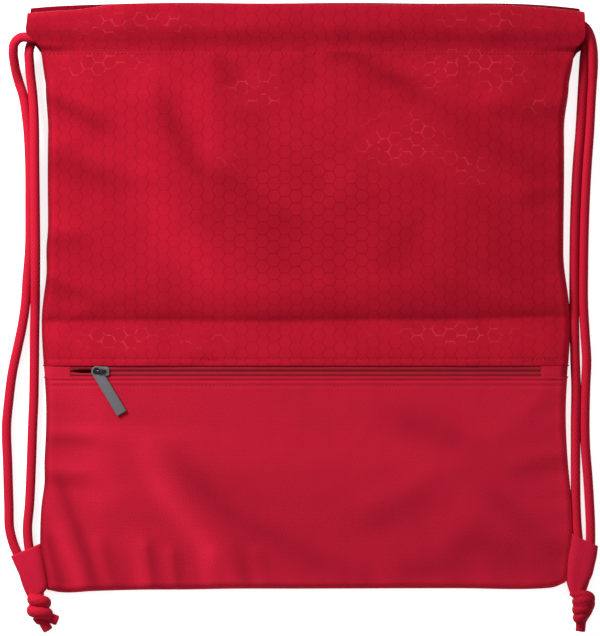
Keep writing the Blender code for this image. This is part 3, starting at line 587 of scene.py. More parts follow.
# ---------------------------------------------------------------- the cloth's shape
PIXEL = 0.0008
PHOTO_MIDDLE = (306.0, 301.0)
SEAM_TOP_Z = 0.0018
HEM_STITCH_Z = 0.0206
CREASE_DEPTH = 0.0030
STITCH_ABOVE_ZIP_Y = -0.0467
STITCH_BELOW_ZIP_Y = -0.0678
GROOVE_Y = -0.0637


def at(px, py):
    """A place on the bag that lies at a pixel of the photograph."""
    return ((px - PHOTO_MIDDLE[0]) * PIXEL, (PHOTO_MIDDLE[1] - py) * PIXEL)


def walk(pixels):
    return tuple(at(*pixel) for pixel in pixels)


BOTTOM_LINE = ((36, 590.4), (50, 590.6), (56, 592), (64, 592.8), (72, 592.8), (90, 591.6), (110, 590.8),
               (140, 590.1), (190, 589.8), (230, 589.1), (300, 589), (460, 588.6), (540, 588.9), (548, 588.4),
               (553, 587.7), (557, 586.6), (561, 584.8), (566, 582.6), (572, 581.4))


def bottom_y(x):
    """The uneven bottom seam, with its rounded right corner."""
    return through(walk(BOTTOM_LINE), x)


# Soft folds: crest line in pixels of the photograph, then in millimetres how far the slope runs on the right hand
# and on the left hand of its walk, and its height
UPPER_FOLDS = (
    (((140, 56), (152, 90), (164, 138), (184, 170), (214, 190), (262, 214), (320, 238)), 30, 13, 3),
    (((214, 62), (218, 125), (224, 188)), 13, 30, 1.8),
    (((312, 30), (346, 46), (392, 68), (432, 92), (482, 122), (530, 160), (570, 190)), 12, 28, 2.2),
    (((0, 72), (48, 90), (124, 122)), 10, 7, 1.7),
    (((0, 142), (60, 153), (176, 190)), 13, 10, 1.7),
    (((0, 230), (92, 236)), 9, 7, 1),
    (((0, 260), (106, 298)), 8, 6, 1.1),
    (((620, 90), (540, 104), (460, 100)), 10, 9, 0.7),
    (((620, 156), (520, 156)), 10, 8, 0.3),
    (((620, 174), (500, 198)), 10, 10, 0.7),
    (((330, 170), (380, 210), (420, 240)), 40, 40, 1.2),
)
LOWER_FOLDS = (
    (((140, 418), (156, 446), (180, 484), (202, 516), (224, 546), (252, 588)), 15, 20, 3.8),
    (((108, 396), (112, 460), (116, 532)), 26, 30, 1.8),
    (((372, 408), (400, 417), (432, 424), (462, 436), (492, 448)), 14, 18, 0.9),
    (((350, 514), (374, 505), (400, 498), (424, 486), (446, 474)), 18, 14, 0.9),
    (((28, 490), (48, 556), (62, 604)), 6, 5.5, 2.4),
    (((44, 452), (72, 530), (98, 610)), 8, 6.5, 3),
    (((96, 530), (116, 610)), 6, 6, 1.6),
    (((143, 530), (153, 610)), 6, 4.5, 1.8),
    (((169, 540), (179, 610)), 4.5, 4.5, 1.6),
    (((208, 540), (224, 610)), 8, 6, 1.2),
    (((252, 540), (274, 610)), 6, 6, 1),
    (((430, 546), (480, 524), (530, 546)), 14, 16, 0.9),
    (((468, 476), (518, 508), (580, 556)), 12, 14, 0.9),
    (((0, 426), (106, 432)), 7, 6, 1.4),
    (((0, 467), (102, 474)), 7, 6, 1.4),
    (((620, 444), (500, 466)), 8, 7, 0.7),
)
# Painted shade and light that stand in for the shading of folds: line in pixels, half width in millimetres, share of
# brightness
UPPER_PAINTED_SHADING = (
    (((150, 78), (172, 130), (188, 158), (205, 172), (232, 186), (276, 208)), 9.5, -0.14),
    (((196, 188), (254, 216), (322, 230)), 24, -0.07),
    (((300, 218), (352, 200), (392, 196), (398, 246)), 26, -0.05),
    (((138, 150), (154, 190), (170, 226), (192, 256), (236, 292)), 19, 0.25),
    (((184, 80), (203, 125), (214, 172)), 11, 0.06),
    (((70, 62), (150, 82), (206, 74)), 22, 0.07),
    (((220, 54), (232, 88)), 10, -0.22),
    (((306, 32), (340, 50), (366, 63), (386, 74), (412, 90)), 9, -0.26),
    (((390, 78), (440, 106), (470, 125), (502, 150), (556, 190)), 11, -0.09),
    (((410, 62), (460, 84), (510, 104)), 14, 0.05),
    (((320, 104), (390, 140), (460, 180)), 20, 0.05),
    (((620, 100), (536, 113), (476, 114)), 7, -0.12),
    (((620, 170), (520, 164)), 8, -0.03),
    (((620, 182), (500, 204)), 9, -0.12),
    (((590, 250), (530, 226), (470, 226)), 22, -0.04),
    (((400, 292), (500, 276), (600, 290)), 22, -0.06),
    (((-60, 340), (300, 338), (670, 336)), 16, 0.075),
    (((0, 78), (60, 105), (116, 134)), 7, -0.2),
    (((0, 154), (70, 165), (172, 194)), 12, -0.12),
    (((0, 239), (92, 245)), 6.5, -0.13),
    (((0, 268), (108, 306)), 6.5, -0.14),
    (((54, 196), (64, 238)), 11, 0.05),
    (((180, 286), (290, 283), (450, 276)), 9, 0.08),
)
LOWER_PAINTED_SHADING = (
    (((82, 340), (92, 420), (95, 470), (96, 540)), 15, 0.11),
    (((140, 452), (152, 474), (168, 500), (186, 522), (206, 545), (236, 592)), 10.5, 0.29),
    (((150, 424), (168, 448), (192, 476), (212, 500), (238, 520), (266, 534), (310, 556), (360, 576)), 11, -0.15),
    (((190, 484), (270, 496)), 12, -0.07),
    (((390, 416), (410, 423), (432, 430), (454, 436), (474, 444)), 13, -0.21),
    (((350, 530), (372, 521), (395, 512), (420, 498), (442, 486)), 11.5, -0.15),
    (((-60, 375), (300, 375), (670, 376)), 4.6, -0.13),
    (((436, 576), (476, 540), (502, 556), (590, 574)), 15, -0.14),
    (((466, 470), (520, 520), (580, 572)), 10, -0.12),
    (((390, 570), (460, 566)), 9, -0.14),
    (((280, 566), (380, 576)), 11, -0.06),
    (((500, 478), (620, 448)), 8, -0.06),
    (((30, 498), (52, 560), (66, 606)), 5.5, -0.16),
    (((52, 516), (88, 606)), 5.5, 0.16),
    (((48, 460), (75, 530), (106, 612)), 6, -0.17),
    (((0, 435), (104, 443)), 5, -0.13),
    (((0, 474), (100, 486)), 5, -0.13),
    (((128, 530), (148, 612)), 5, 0.12),
    (((106, 540), (132, 612)), 6.5, -0.1),
    (((152, 544), (164, 612)), 4, -0.12),
    (((179, 546), (190, 612)), 4, -0.12),
    (((196, 542), (214, 612)), 5.5, 0.12),
    (((235, 540), (256, 612)), 4, -0.08),
    (((250, 380), (300, 400), (330, 440)), 15, -0.04),
    (((120, 470), (136, 560)), 15, 0.04),
    (((400, 520), (484, 456), (540, 416), (600, 372)), 26, 0.07),
)
# Painted shade and light along the sewn sides and painted light along the bottom seam, set against the shading of their
# slopes: share of brightness, and how far in it reaches in metres
EDGE_PAINTED_SHADING = {-1: -0.38, 1: 0.62}
EDGE_PAINTED_SHADING_RUN = {-1: 0.0034, 1: 0.0052}
BOTTOM_PAINTED_LIGHT, BOTTOM_PAINTED_LIGHT_RUN = 0.50, 0.0048
PAINTED_SHADING_ENDS = 0.35
FADE_SHARE = 0.25


def fold(x, y, line, right, left, height, ends=0.1):
    """A soft ridge along a walk of pixels, with its own run of slope on each side and faded ends."""
    line = walk(line)
    best = np.full(np.shape(x), np.inf)
    share = np.zeros(np.shape(x))
    signed = np.zeros(np.shape(x))
    spans = [math.dist(a, b) for a, b in zip(line, line[1:])]
    done = 0.0
    for (ax, ay), (bx, by), span in zip(line, line[1:], spans):
        ux, uy = (bx - ax) / span, (by - ay) / span
        held = np.clip((x - ax) * ux + (y - ay) * uy, 0, span)
        away = np.hypot(x - ax - held * ux, y - ay - held * uy)
        closer = away < best
        best = np.where(closer, away, best)
        signed = np.where(closer, np.where((x - ax) * uy - (y - ay) * ux > 0, 1.0, -1.0), signed)
        share = np.where(closer, (done + held) / sum(spans), share)
        done += span
    fade = ease(share / FADE_SHARE) * ease((1 - share) / FADE_SHARE) * (1 - ends) + ends
    return height * fade * bell(best, np.where(signed > 0, right, left))


def folds_of(x, y, table):
    return sum(fold(x, y, line, right * MM, left * MM, height * MM) for line, right, left, height in table)


def painted_shading_of(x, y, streaks):
    """Share of brightness from painted light and shade along the folds, with painted shade and light along the side
    seams.
    """
    away = from_side(x, y)
    edge = sum(EDGE_PAINTED_SHADING[side] * bell(away, EDGE_PAINTED_SHADING_RUN[side]) * (x * side > 0) for side in (-1, 1))
    for line, width, amount in streaks:
        edge = edge + fold(x, y, line, width * MM, width * MM, amount, PAINTED_SHADING_ENDS)
    return edge


def rim(distance, run, power=2.6):
    """Share of the full height at a distance in from a sewn edge: steep at the edge, then round."""
    t = np.clip(distance / run, 0.0, 1.0)
    return (1 - (1 - t) ** power) ** (1 / power)


def pucker(along, distance, spacing, reach, seed):
    """Short wrinkles that stand square to a seam and fade away from it."""
    waves = ripple(along, distance * 0.25, spacing, seed)
    return waves * np.exp(-distance / reach) * ease(distance / 0.003)


def unevenness(x, y, swells, seams):
    """Small relief of the cloth: smooth noise, and puckers along each seam."""
    made = sum(size * ripple(x, y, scale, seed) for size, scale, seed in swells)
    for size, along, distance, spacing, reach, seed in seams:
        made = made + size * pucker(along, distance, spacing, reach, seed)
    return made


def crease_y(x):
    return -0.0158 + 0.0030 * ease((x - 0.02) / 0.2) + 0.0005 * np.sin(x * 37.0)


def crease_lift(x):
    """Height of the fold that overhangs the crease, more to the right."""
    return 0.0050 + 0.0022 * ease((x + 0.13) / 0.25)


def swell(x, y):
    return (crease_lift(x) - CREASE_DEPTH) * ease((y - crease_y(x) + 0.010) / 0.045)


STITCH_DIP = (0.0012, 0.0004)
GROOVE_DIP = (0.0007, 0.0007)


def dip(distance, reach, depth):
    return -depth * bell(distance, reach)


def upper_base(x, y):
    """The broad swell of the upper front cloth, which meets the hem's stitch line."""
    z = FRONT_TOP_Z + swell(x, y)
    z = z + (HEM_STITCH_Z - z) * 0.6 * ease((y - 0.03) / 0.15)
    return z + (HEM_STITCH_Z - z) * ease((y - 0.172) / 0.0266)


def upper_relief(x, y):
    """The pressed crease across the upper cloth, its folds and its sewn lines."""
    above = y - crease_y(x)
    slow = 0.0092 + 0.0040 * ease((x + 0.06) / 0.20)
    crease = crease_lift(x) * (1 - np.exp(-np.maximum(above, 0) / slow))
    crease = crease + CREASE_DEPTH * np.clip(-above / 0.034, 0, 1)
    z = (crease - CREASE_DEPTH - swell(x, y)) * (1 - ease((y - 0.05) / 0.05))
    inside = ease((y + 0.004) / 0.02) * (1 - ease((y - 0.178) / 0.016))
    return z + inside * folds_of(x, y, UPPER_FOLDS) + dip(y - STITCH_ABOVE_ZIP_Y, *STITCH_DIP)


def lower_relief(x, y):
    """Folds of the lower front cloth, none where the pull lies, and its sewn lines."""
    below_pull = ease((-0.094 - y) / 0.020)
    z = below_pull * folds_of(x, y, LOWER_FOLDS)
    return z + dip(y - STITCH_BELOW_ZIP_Y, *STITCH_DIP) + dip(y - GROOVE_Y, *GROOVE_DIP)


WALL_RIM = (0.0070, 2.3)
RELIEF_RUN = 0.010


def side_slope(distance, seam, wall, run, top):
    """Height at a distance in from a side seam: a low round wall, then a long soft slope up to the top."""
    return seam + (wall - seam) * rim(distance, *WALL_RIM) + (top - wall) * ease(distance / run)


def upper_z(x, y, rough=0.0):
    slit = ease((y - HEM_Y + SIDE_SLIT) / SIDE_SLIT)
    near_hem = ease((y - HEM_Y + 0.120) / 0.120)
    near_zip = ease((0.030 - y) / 0.055)
    seam = SEAM_TOP_Z + (FRONT_TOP_Z - SEAM_TOP_Z) * slit
    wall = 0.0146 + 0.0036 * near_hem - 0.0010 * near_zip
    run = 0.105 - 0.070 * near_hem - 0.086 * near_zip
    away = from_side(x, y)
    relief = (upper_relief(x, y) + rough) * rim(away, RELIEF_RUN)
    return side_slope(away, seam, wall, run, upper_base(x, y)) + relief


def lower_z(x, y, rough=0.0):
    near_zip = ease((y + 0.150) / 0.087)
    wall = 0.0094 + 0.0042 * near_zip
    run = 0.110 - 0.091 * near_zip
    top = FRONT_TOP_Z + 0.0004 * (1 - ease((WINDOW_BOTTOM_Y - y) / 0.014)) + 0.0012 * ease((-0.098 - y) / 0.04)
    top = top - 0.0058 * (1 - ease((y - bottom_y(x)) / 0.110))
    away = from_side(x, y)
    z = side_slope(away, SEAM_TOP_Z, wall, run, top) + (lower_relief(x, y) + rough) * rim(away, RELIEF_RUN)
    return SEAM_TOP_Z + (z - SEAM_TOP_Z) * rim(y - bottom_y(x), *WALL_RIM)


EDGE_STEPS = np.array([0, 0.35, 0.8, 1.4, 2.1, 3.0, 4.0, 5.2, 6.5, 8.0, 9.6, 11.2, 12.8, 14.4]) / 1000
BOTTOM_STEPS = np.append(EDGE_STEPS[:-2], [0.0130, 0.0150])
EDGE_BAND = 0.016
TOP_HALF_WIDTH = 0.2225


def columns(y_left, y_right=None, inset=0.0, across=230):
    """x positions across the cloth, from edge to edge, closer together towards both edges."""
    left = float(edge_reach(y_left, -1)) - inset
    right = float(edge_reach(y_left if y_right is None else y_right, 1)) - inset
    middle = np.linspace(-(left - EDGE_BAND), right - EDGE_BAND, across)
    return np.concatenate([-(left - EDGE_STEPS), middle, (right - EDGE_STEPS)[::-1]])


def turned_under(edge, way, narrower):
    """Rows of cloth turned under an edge beside the zip, from the farthest in towards the edge."""
    rows = []
    for back, down in LIP:
        row = edge.copy()
        row[:, 0] *= 1 - narrower * ease(back / 0.001)
        row[:, 1] += way * back
        row[:, 2] -= down * np.clip((edge[:, 2] - 0.002) / 0.010, 0.05, 1)
        rows.append(row)
    return rows


def turned_over(edge, steps):
    """Rows of cloth that turn over a top edge, each with its move in y and its height."""
    rows = []
    for move, z in steps:
        row = edge.copy()
        row[:, 1] += move
        row[:, 2] = z
        rows.append(row)
    return rows


LIP = ((0.0090, 0.0022), (0.0045, 0.0022), (0.0010, 0.0021), (0.0, 0.0018), (-0.00045, 0.0011), (-0.0003, 0.0004))
FRONT_TURN = ((0.0005, 0.0193), (0.0006, 0.0180), (0.0004, 0.0166), (0.0001, 0.0156), (-0.0006, 0.0150))
BACK_TURN = ((0.0003, 0.0009), (0.0, 0.0005))
# Painted shade along the hem: over the lower cord, and along the top edge
HEM_PAINTED_SHADE_LINES, HEM_PAINTED_SHADE_RUN = (0.2095, 0.2350), 0.0060


def rows_of(ys):
    xs = np.stack([columns(y) for y in ys])
    return xs, np.repeat(np.asarray(ys)[:, None], xs.shape[1], axis=1)


def back_top(x):
    share = np.clip(np.abs(x) / TOP_HALF_WIDTH, 0, 1)
    return TOP_Y - 0.0047 * share**6 + 0.0003 * np.sin(x * 47.0)


def front_top(x):
    left = 0.0036 * ease((-0.146 - x) / 0.042)
    return back_top(x) - 0.0004 - left - 0.0009 * ease((x + 0.02) / 0.09) - 0.0013 * ease((x - 0.12) / 0.10)


HEM_PROFILE = ((0.1986, 0.0206), (0.2010, 0.0208), (0.2040, 0.0213), (0.2070, 0.0220), (0.2100, 0.0230),
               (0.2130, 0.0240), (0.2160, 0.0249), (0.2190, 0.0255), (0.2220, 0.0258), (0.2262, 0.0259),
               (0.2310, 0.0257), (0.2345, 0.0250), (0.2367, 0.0236), (0.2380, 0.0214))
HEM_SHOULDER_Y = 0.2262
BACK_PROFILE = ((0.1976, 0.0014), (0.2000, 0.0026), (0.2030, 0.0066), (0.2058, 0.0086), (0.2094, 0.0090),
                (0.2214, 0.0090), (0.2256, 0.0084), (0.2300, 0.0056), (0.2345, 0.0028), (0.2380, 0.0014))


NOTCH_X, NOTCH_LOW_Y, NOTCH_HIGH_Y = 0.1985, 0.2030, 0.2285


def notch(points, lowest):
    """Quads that stay where a cord turns from one casing to the other inside their ends."""
    middle = (points[:-1, :-1] + points[1:, 1:]) / 2
    x, y = np.abs(middle[..., 0]), middle[..., 1]
    row = np.arange(len(points) - 1)[:, None]
    return ~((x > NOTCH_X) & (y > NOTCH_LOW_Y) & (y < NOTCH_HIGH_Y) & (row >= lowest))


def make_front_upper():
    ys = np.concatenate([np.linspace(WINDOW_TOP_Y, -0.040, 18), np.linspace(-0.0386, HEM_Y - 0.002, 140),
                         [HEM_Y - 0.0010, HEM_Y]])
    xs, yy = rows_of(ys)
    rough = unevenness(xs, yy, ((0.00022, 0.020, 1.3), (0.00035, 0.055, 4.1)),
                       ((0.00070, xs, HEM_Y - yy, 0.012, 0.012, 9.1),
                        (0.00045, xs, yy - WINDOW_TOP_Y, 0.014, 0.014, 9.7),
                        (0.00110, yy + 0.3 * (xs > 0), from_side(xs, yy), 0.013, 0.016, 5.2)))
    main = np.stack([xs, yy, upper_z(xs, yy, rough)], axis=2)
    under = turned_under(main[0], 1, 0.006)
    hem = []
    shares = np.concatenate([np.linspace(0, 0.12, 5)[1:], np.linspace(0.12, 1, 26)[1:]])
    ends = [HEM_Y + shares * (float(front_top(side * TOP_HALF_WIDTH)) - HEM_Y) for side in (-1, 1)]
    for t, y_left, y_right in zip(shares, *ends):
        x = columns(y_left, y_right)
        y = HEM_Y + t * (front_top(x) - HEM_Y)
        past = np.clip((y - HEM_SHOULDER_Y) / (front_top(x) - HEM_SHOULDER_Y), 0, 1)
        level = np.where(y < HEM_SHOULDER_Y, y, HEM_SHOULDER_Y + past * (TOP_Y - HEM_SHOULDER_Y))
        bumps = 0.00065 * ripple(x, 0.5 * y, 0.019, 7.7) + 0.0005 * ripple(x, y, 0.050, 2.2)
        z = through(HEM_PROFILE, level) + math.sin(math.pi * t) * bumps
        z = z + (main[-1, :, 2] - HEM_STITCH_Z) * (1 - ease((y - HEM_Y) / 0.0060))
        hem.append(np.stack([x, y, z], axis=1))
    inner = turned_over(hem[-1], FRONT_TURN)
    for t in np.linspace(0.03, 1.05, 22):
        x = columns(*(max(HEM_Y, end[-1] - t * (end[-1] - HEM_Y)) for end in ends), inset=0.0003)
        inner.append(np.stack([x, front_top(x) - t * (front_top(x) - HEM_Y), 0 * x + FRONT_TURN[-1][1]], axis=1))
    points = np.concatenate([under, main, hem, inner])
    over = slice(len(under) + len(main), len(under) + len(main) + len(hem))
    painted_shading = np.zeros(points.shape[:2])
    # painted light and shade on the upper cloth
    painted_shading[len(under):over.start] = painted_shading_of(xs, yy, UPPER_PAINTED_SHADING)
    x, y = points[over, :, 0], points[over, :, 1]
    channel, ridge = (bell(y - line, HEM_PAINTED_SHADE_RUN) for line in HEM_PAINTED_SHADE_LINES)
    # painted shade over the whole hem, deeper over the lower cord, towards the right, and along the top edge
    painted_shading[over] = -0.03 - (0.03 + 0.06 * ease((x + 0.06) / 0.20)) * channel - 0.10 * ridge
    keep = notch(points, over.stop + len(FRONT_TURN))
    made = add_grid("front_upper_cloth", points, HONEYCOMB, keep=keep, painted_shading=painted_shading)
    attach(made, "bag")
    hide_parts("front_upper_panel", "front_hem_casing")


def make_front_lower():
    rise = np.concatenate([BOTTOM_STEPS, np.linspace(0.0166, 0.1560, 90),
                           np.linspace(0.1567, WINDOW_BOTTOM_Y - BOTTOM_Y, 20)])
    xs = np.stack([columns(BOTTOM_Y + r) for r in rise])
    low = bottom_y(xs)
    yy = low + rise[:, None] + (BOTTOM_Y - low) * ease(rise[:, None] / 0.12)
    rough = unevenness(xs, yy, ((0.00018, 0.016, 3.9), (0.00035, 0.050, 8.1)),
                       ((0.00090, xs, yy - low, 0.013, 0.014, 2.4),
                        (0.00045, xs, WINDOW_BOTTOM_Y - yy, 0.014, 0.014, 7.3),
                        (0.00100, yy + 0.3 * (xs > 0), from_side(xs, yy), 0.013, 0.016, 6.1)))
    main = np.stack([xs, yy, lower_z(xs, yy, rough)], axis=2)
    points = np.concatenate([main, turned_under(main[-1], -1, 0.010)[::-1]])
    painted_shading = np.zeros(points.shape[:2])
    # painted light and shade on the lower cloth, with painted light along the bottom seam
    painted_shading[:len(main)] = painted_shading_of(xs, yy, LOWER_PAINTED_SHADING) + BOTTOM_PAINTED_LIGHT * bell(yy - low, BOTTOM_PAINTED_LIGHT_RUN)
    made = add_grid("front_lower_cloth", points, TWILL, painted_shading=painted_shading)
    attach(made, "bag")
    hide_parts("front_lower_panel")


BACK_HEM_Y = 0.1976
BACK_Z = 0.0005
# Painted shade on the back cloth's hem rows, which show in the gap above the front's top edge
BACK_HEM_PAINTED_SHADE = -0.58


def hem_ends(x, y):
    """The back cloth's x near its hem's ends: a flap on the right, and both ends tucked in near the top."""
    flap = 0.0030 * bell(y - 0.2085, 0.0052)
    tucked = ease((y - 0.2285) / 0.0080)
    right, left = ease((x - 0.190) / 0.020), ease((-0.190 - x) / 0.020)
    return x + (flap - 0.0034 * tucked) * right + 0.0020 * tucked * left


def make_back():
    hem = []
    for t in np.concatenate([np.linspace(0, 0.3, 10), np.linspace(0.3, 1, 22)[1:]]):
        y = BACK_HEM_Y + t * (TOP_Y - BACK_HEM_Y)
        x = columns(y, across=120)
        z = through(BACK_PROFILE, y) + 0.0003 * ripple(x, y, 0.03, 5.5) * math.sin(math.pi * t)
        x = hem_ends(x, y)
        hem.append(np.stack([x, BACK_HEM_Y + t * (back_top(x) - BACK_HEM_Y), z], axis=1))
    flat = []
    for t in np.linspace(0.01, 1, 90):
        y = TOP_Y - t * (TOP_Y - BOTTOM_Y)
        x = columns(y, inset=0.0002, across=120)
        low = bottom_y(x) + 0.0003
        x = hem_ends(x, y)
        flat.append(np.stack([x, back_top(x) - t * (back_top(x) - low), 0 * x + BACK_Z], axis=1))
    points = np.concatenate([hem, turned_over(hem[-1], BACK_TURN), flat])
    keep = notch(points, 0)
    keep[len(hem):] = True
    painted_shading = np.zeros(points.shape[:2])
    # painted shade on the back hem
    painted_shading[:len(hem) + 1] = BACK_HEM_PAINTED_SHADE
    made = add_grid("back_cloth", points, BACK_TWILL, keep=keep, offset=0.0, painted_shading=painted_shading)
    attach(made, "bag")
    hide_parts("back_panel", "back_hem_casing")


LINING_INSET = 0.0010
LINING_SEAM_Z = 0.0013
LINING_Z = 0.0062
FACING_Z = 0.0126


def make_lining():
    """Pocket lining with its facing above the zip and its bound edges down to the seams."""
    ys = np.concatenate([np.linspace(BOTTOM_Y + 0.0006, -0.2102, 9), np.linspace(-0.2070, -0.0490, 60),
                         np.linspace(-0.0470, -0.0386, 8)])
    xs = np.stack([columns(y, inset=LINING_INSET, across=90) for y in ys])
    yy = np.repeat(ys[:, None], xs.shape[1], axis=1)
    yy = yy + np.maximum(0.0, bottom_y(xs) - BOTTOM_Y) * (1 - ease((yy - BOTTOM_Y) / 0.030))
    z = LINING_Z + 0.00025 * ripple(xs, yy, 0.04, 6.6)
    z = z + (FACING_Z - z) * ease((yy + 0.0470) / 0.0085)
    inside = ease((from_side(xs, yy) - LINING_INSET) / 0.0175) * ease((yy - BOTTOM_Y) / 0.0195)
    z = LINING_SEAM_Z + (z - LINING_SEAM_Z) * inside
    made = add_grid("pocket_lining_cloth", np.stack([xs, yy, z], axis=2), LINING)
    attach(made, "bag")
    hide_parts("pocket_lining", "pocket_facing", "left_side_binding", "right_side_binding", "bottom_binding")


# ---------------------------------------------------------------- zip
SLIDER_X = -0.1641
TAPE_Z = 0.0138
TAPE_HALF_LENGTH = 0.1900
TAPE_STEPS = np.array([0, 0.12, 0.3, 0.6, 1.0, 1.5, 2.0, 2.5, 3.0, 3.5, 4.0, 4.6, 5.4, 6.5, 8.0, 10.0, 12.6]) / 1000
# The tape's rise over the coil and its turned edge: size, middle and run
TAPE_CROWN = ((0.00055, 0.0020, 0.00115), (-0.00035, 0.0, 0.00030))
TAPE_PARTING_RUN, TAPE_GAP, TAPE_THICKNESS = 0.0045, 0.00006, 0.0006
CLOSED_GAP, OPEN_GAP = 0.00002, 0.0013
COIL_HALF_LENGTH = 0.1876
COIL_TURNS = 290
COIL_POINTS = 9
COIL_OFF_MIDDLE, COIL_PARTING, COIL_Z = 0.00185, 0.6, 0.0121
COIL_HALF_WIDTH, COIL_HALF_HEIGHT, COIL_WIRE_RADIUS = 0.00082, 0.00062, 0.00028


def parting(x):
    """How far each tape edge stands off the middle: a little gap where the zip is open, left of the slider."""
    return CLOSED_GAP + OPEN_GAP * ease((SLIDER_X - 0.002 - x) / 0.008) * ease((x + 0.1905) / 0.012)


def make_tape(name, side):
    xs = np.linspace(-TAPE_HALF_LENGTH, TAPE_HALF_LENGTH, 200)
    rows = []
    for d in TAPE_STEPS:
        crown = sum(size * bell(d - middle, run) for size, middle, run in TAPE_CROWN)
        y = ZIP_Y + side * (parting(xs) * max(0.0, 1 - d / TAPE_PARTING_RUN) + TAPE_GAP + d)
        rows.append(np.stack([xs, y, 0 * xs + TAPE_Z + crown], axis=1))
    points = np.stack(rows if side > 0 else rows[::-1])
    made = add_grid(f"zip_tape_cloth_{name}", points, TAPE, thickness=TAPE_THICKNESS)
    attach(made, "bag")
    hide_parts(f"zip_tape_{name}")


def make_coil(name, side):
    path = []
    for i in range(COIL_TURNS * COIL_POINTS + 1):
        x = -COIL_HALF_LENGTH + 2 * COIL_HALF_LENGTH * i / (COIL_TURNS * COIL_POINTS)
        angle = 2 * math.pi * i / COIL_POINTS
        middle = ZIP_Y + side * (COIL_OFF_MIDDLE + float(parting(x)) * COIL_PARTING)
        path.append((x, middle + COIL_HALF_WIDTH * math.cos(angle), COIL_Z + COIL_HALF_HEIGHT * math.sin(angle)))
    made = add_tube(f"zip_coil_spiral_{name}", [tube_parts(path, COIL_WIRE_RADIUS, sides=5)], COIL)
    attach(made, "bag")
    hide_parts(f"zip_coil_{name}")


COVER_OVERLAP, COVER_INSET = 0.0030, 0.0003
COVER_WALL_Z, COVER_RUN, COVER_TOP_Z = 0.0135, 0.019, FRONT_TOP_Z - 0.00055
# How the cover dips over the zip's end and below both panels: depth, where it starts and its run
COVER_END_DIP = (0.0012, WINDOW_HALF_LENGTH + 0.0006, 0.0012)
COVER_EDGE_DIP = (0.0008, 0.0045, 0.001)


def make_cover(name, side):
    end_depth, end_x, end_run = COVER_END_DIP
    edge_depth, edge_y, edge_run = COVER_EDGE_DIP
    rows = []
    for y in np.linspace(WINDOW_BOTTOM_Y - COVER_OVERLAP, WINDOW_TOP_Y + COVER_OVERLAP, 15):
        edge = float(edge_reach(y, side)) - COVER_INSET
        d = np.concatenate([EDGE_STEPS, np.linspace(EDGE_BAND, edge - WINDOW_HALF_LENGTH, 10)])
        x = np.sort(side * (edge - d))
        z = side_slope(edge - np.abs(x), SEAM_TOP_Z, COVER_WALL_Z, COVER_RUN, COVER_TOP_Z)
        z = z - end_depth * ease((end_x - np.abs(x)) / end_run)
        z = z - edge_depth * ease((np.abs(y - ZIP_Y) - edge_y) / edge_run)
        rows.append(np.stack([x, 0 * x + y, z], axis=1))
    made = add_grid(f"zip_end_cloth_{name}", np.stack(rows), TWILL)
    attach(made, "bag")
    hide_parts(f"zip_end_cover_{name}")


def flat_shape(name, loops, low, high, bevel, material):
    """A plate from plan outlines, the first the edge and the rest holes, with rounded rims."""
    data = bpy.data.curves.new(name, "CURVE")
    data.dimensions = "2D"
    data.fill_mode = "BOTH"
    data.extrude = (high - low) / 2 - bevel
    data.bevel_depth = bevel
    data.bevel_resolution = 3
    data.offset = -bevel
    for loop in loops:
        line = data.splines.new("POLY")
        line.points.add(len(loop) - 1)
        line.use_cyclic_u = True
        for spot, (x, y) in zip(line.points, loop):
            spot.co = (x, y, 0.0, 1.0)
    shape = add_object(name, data)
    shape.location.z = (high + low) / 2
    bpy.context.view_layer.update()
    graph = bpy.context.evaluated_depsgraph_get()
    mesh = bpy.data.meshes.new_from_object(shape.evaluated_get(graph), depsgraph=graph)
    mesh.transform(shape.matrix_world)
    bpy.data.objects.remove(shape)
    bpy.data.curves.remove(data)
    mesh.materials.clear()
    mesh.materials.append(material)
    work = bmesh.new()
    work.from_mesh(mesh)
    bmesh.ops.remove_doubles(work, verts=work.verts, dist=1e-6)
    bmesh.ops.recalc_face_normals(work, faces=work.faces)
    work.to_mesh(mesh)
    work.free()
    return add_object(name, mesh)


def merge(name, pieces, sharp):
    """Joins pieces into a new one, smooth but for edges over that many degrees."""
    work = bmesh.new()
    finishes = []
    for piece in pieces:
        material = piece.data.materials[0]
        if material not in finishes:
            finishes.append(material)
        done = len(work.faces)
        work.from_mesh(piece.data)
        work.faces.ensure_lookup_table()
        for face in work.faces[done:]:
            face.material_index = finishes.index(material)
    mesh = bpy.data.meshes.new(name)
    work.to_mesh(mesh)
    work.free()
    for material in finishes:
        mesh.materials.append(material)
    for piece in pieces:
        bpy.data.objects.remove(piece)
    mesh.polygons.foreach_set("use_smooth", [True] * len(mesh.polygons))
    mesh.set_sharp_from_angle(angle=math.radians(sharp))
    return add_object(name, mesh)


def rounded(corners, radii, steps=6):
    """A plan outline with rounded corners."""
    loop = []
    count = len(corners)
    for i, corner in enumerate(corners):
        here = Vector(corner)
        before = (Vector(corners[i - 1]) - here).normalized()
        after = (Vector(corners[(i + 1) % count]) - here).normalized()
        radius = radii[i]
        angle = before.angle(after)
        reach = radius / math.tan(angle / 2)
        centre = here + (before + after).normalized() * radius / math.sin(angle / 2)
        a = here + before * reach - centre
        b = here + after * reach - centre
        start = math.atan2(a.y, a.x)
        turn = (math.atan2(b.y, b.x) - start + math.pi) % (2 * math.pi) - math.pi
        for k in range(steps + 1):
            t = start + turn * k / steps
            loop.append((centre.x + radius * math.cos(t), centre.y + radius * math.sin(t)))
    return loop


EYE_X = -0.1674
SLIDER_LEFT, SLIDER_RIGHT = -0.17084, -0.15734
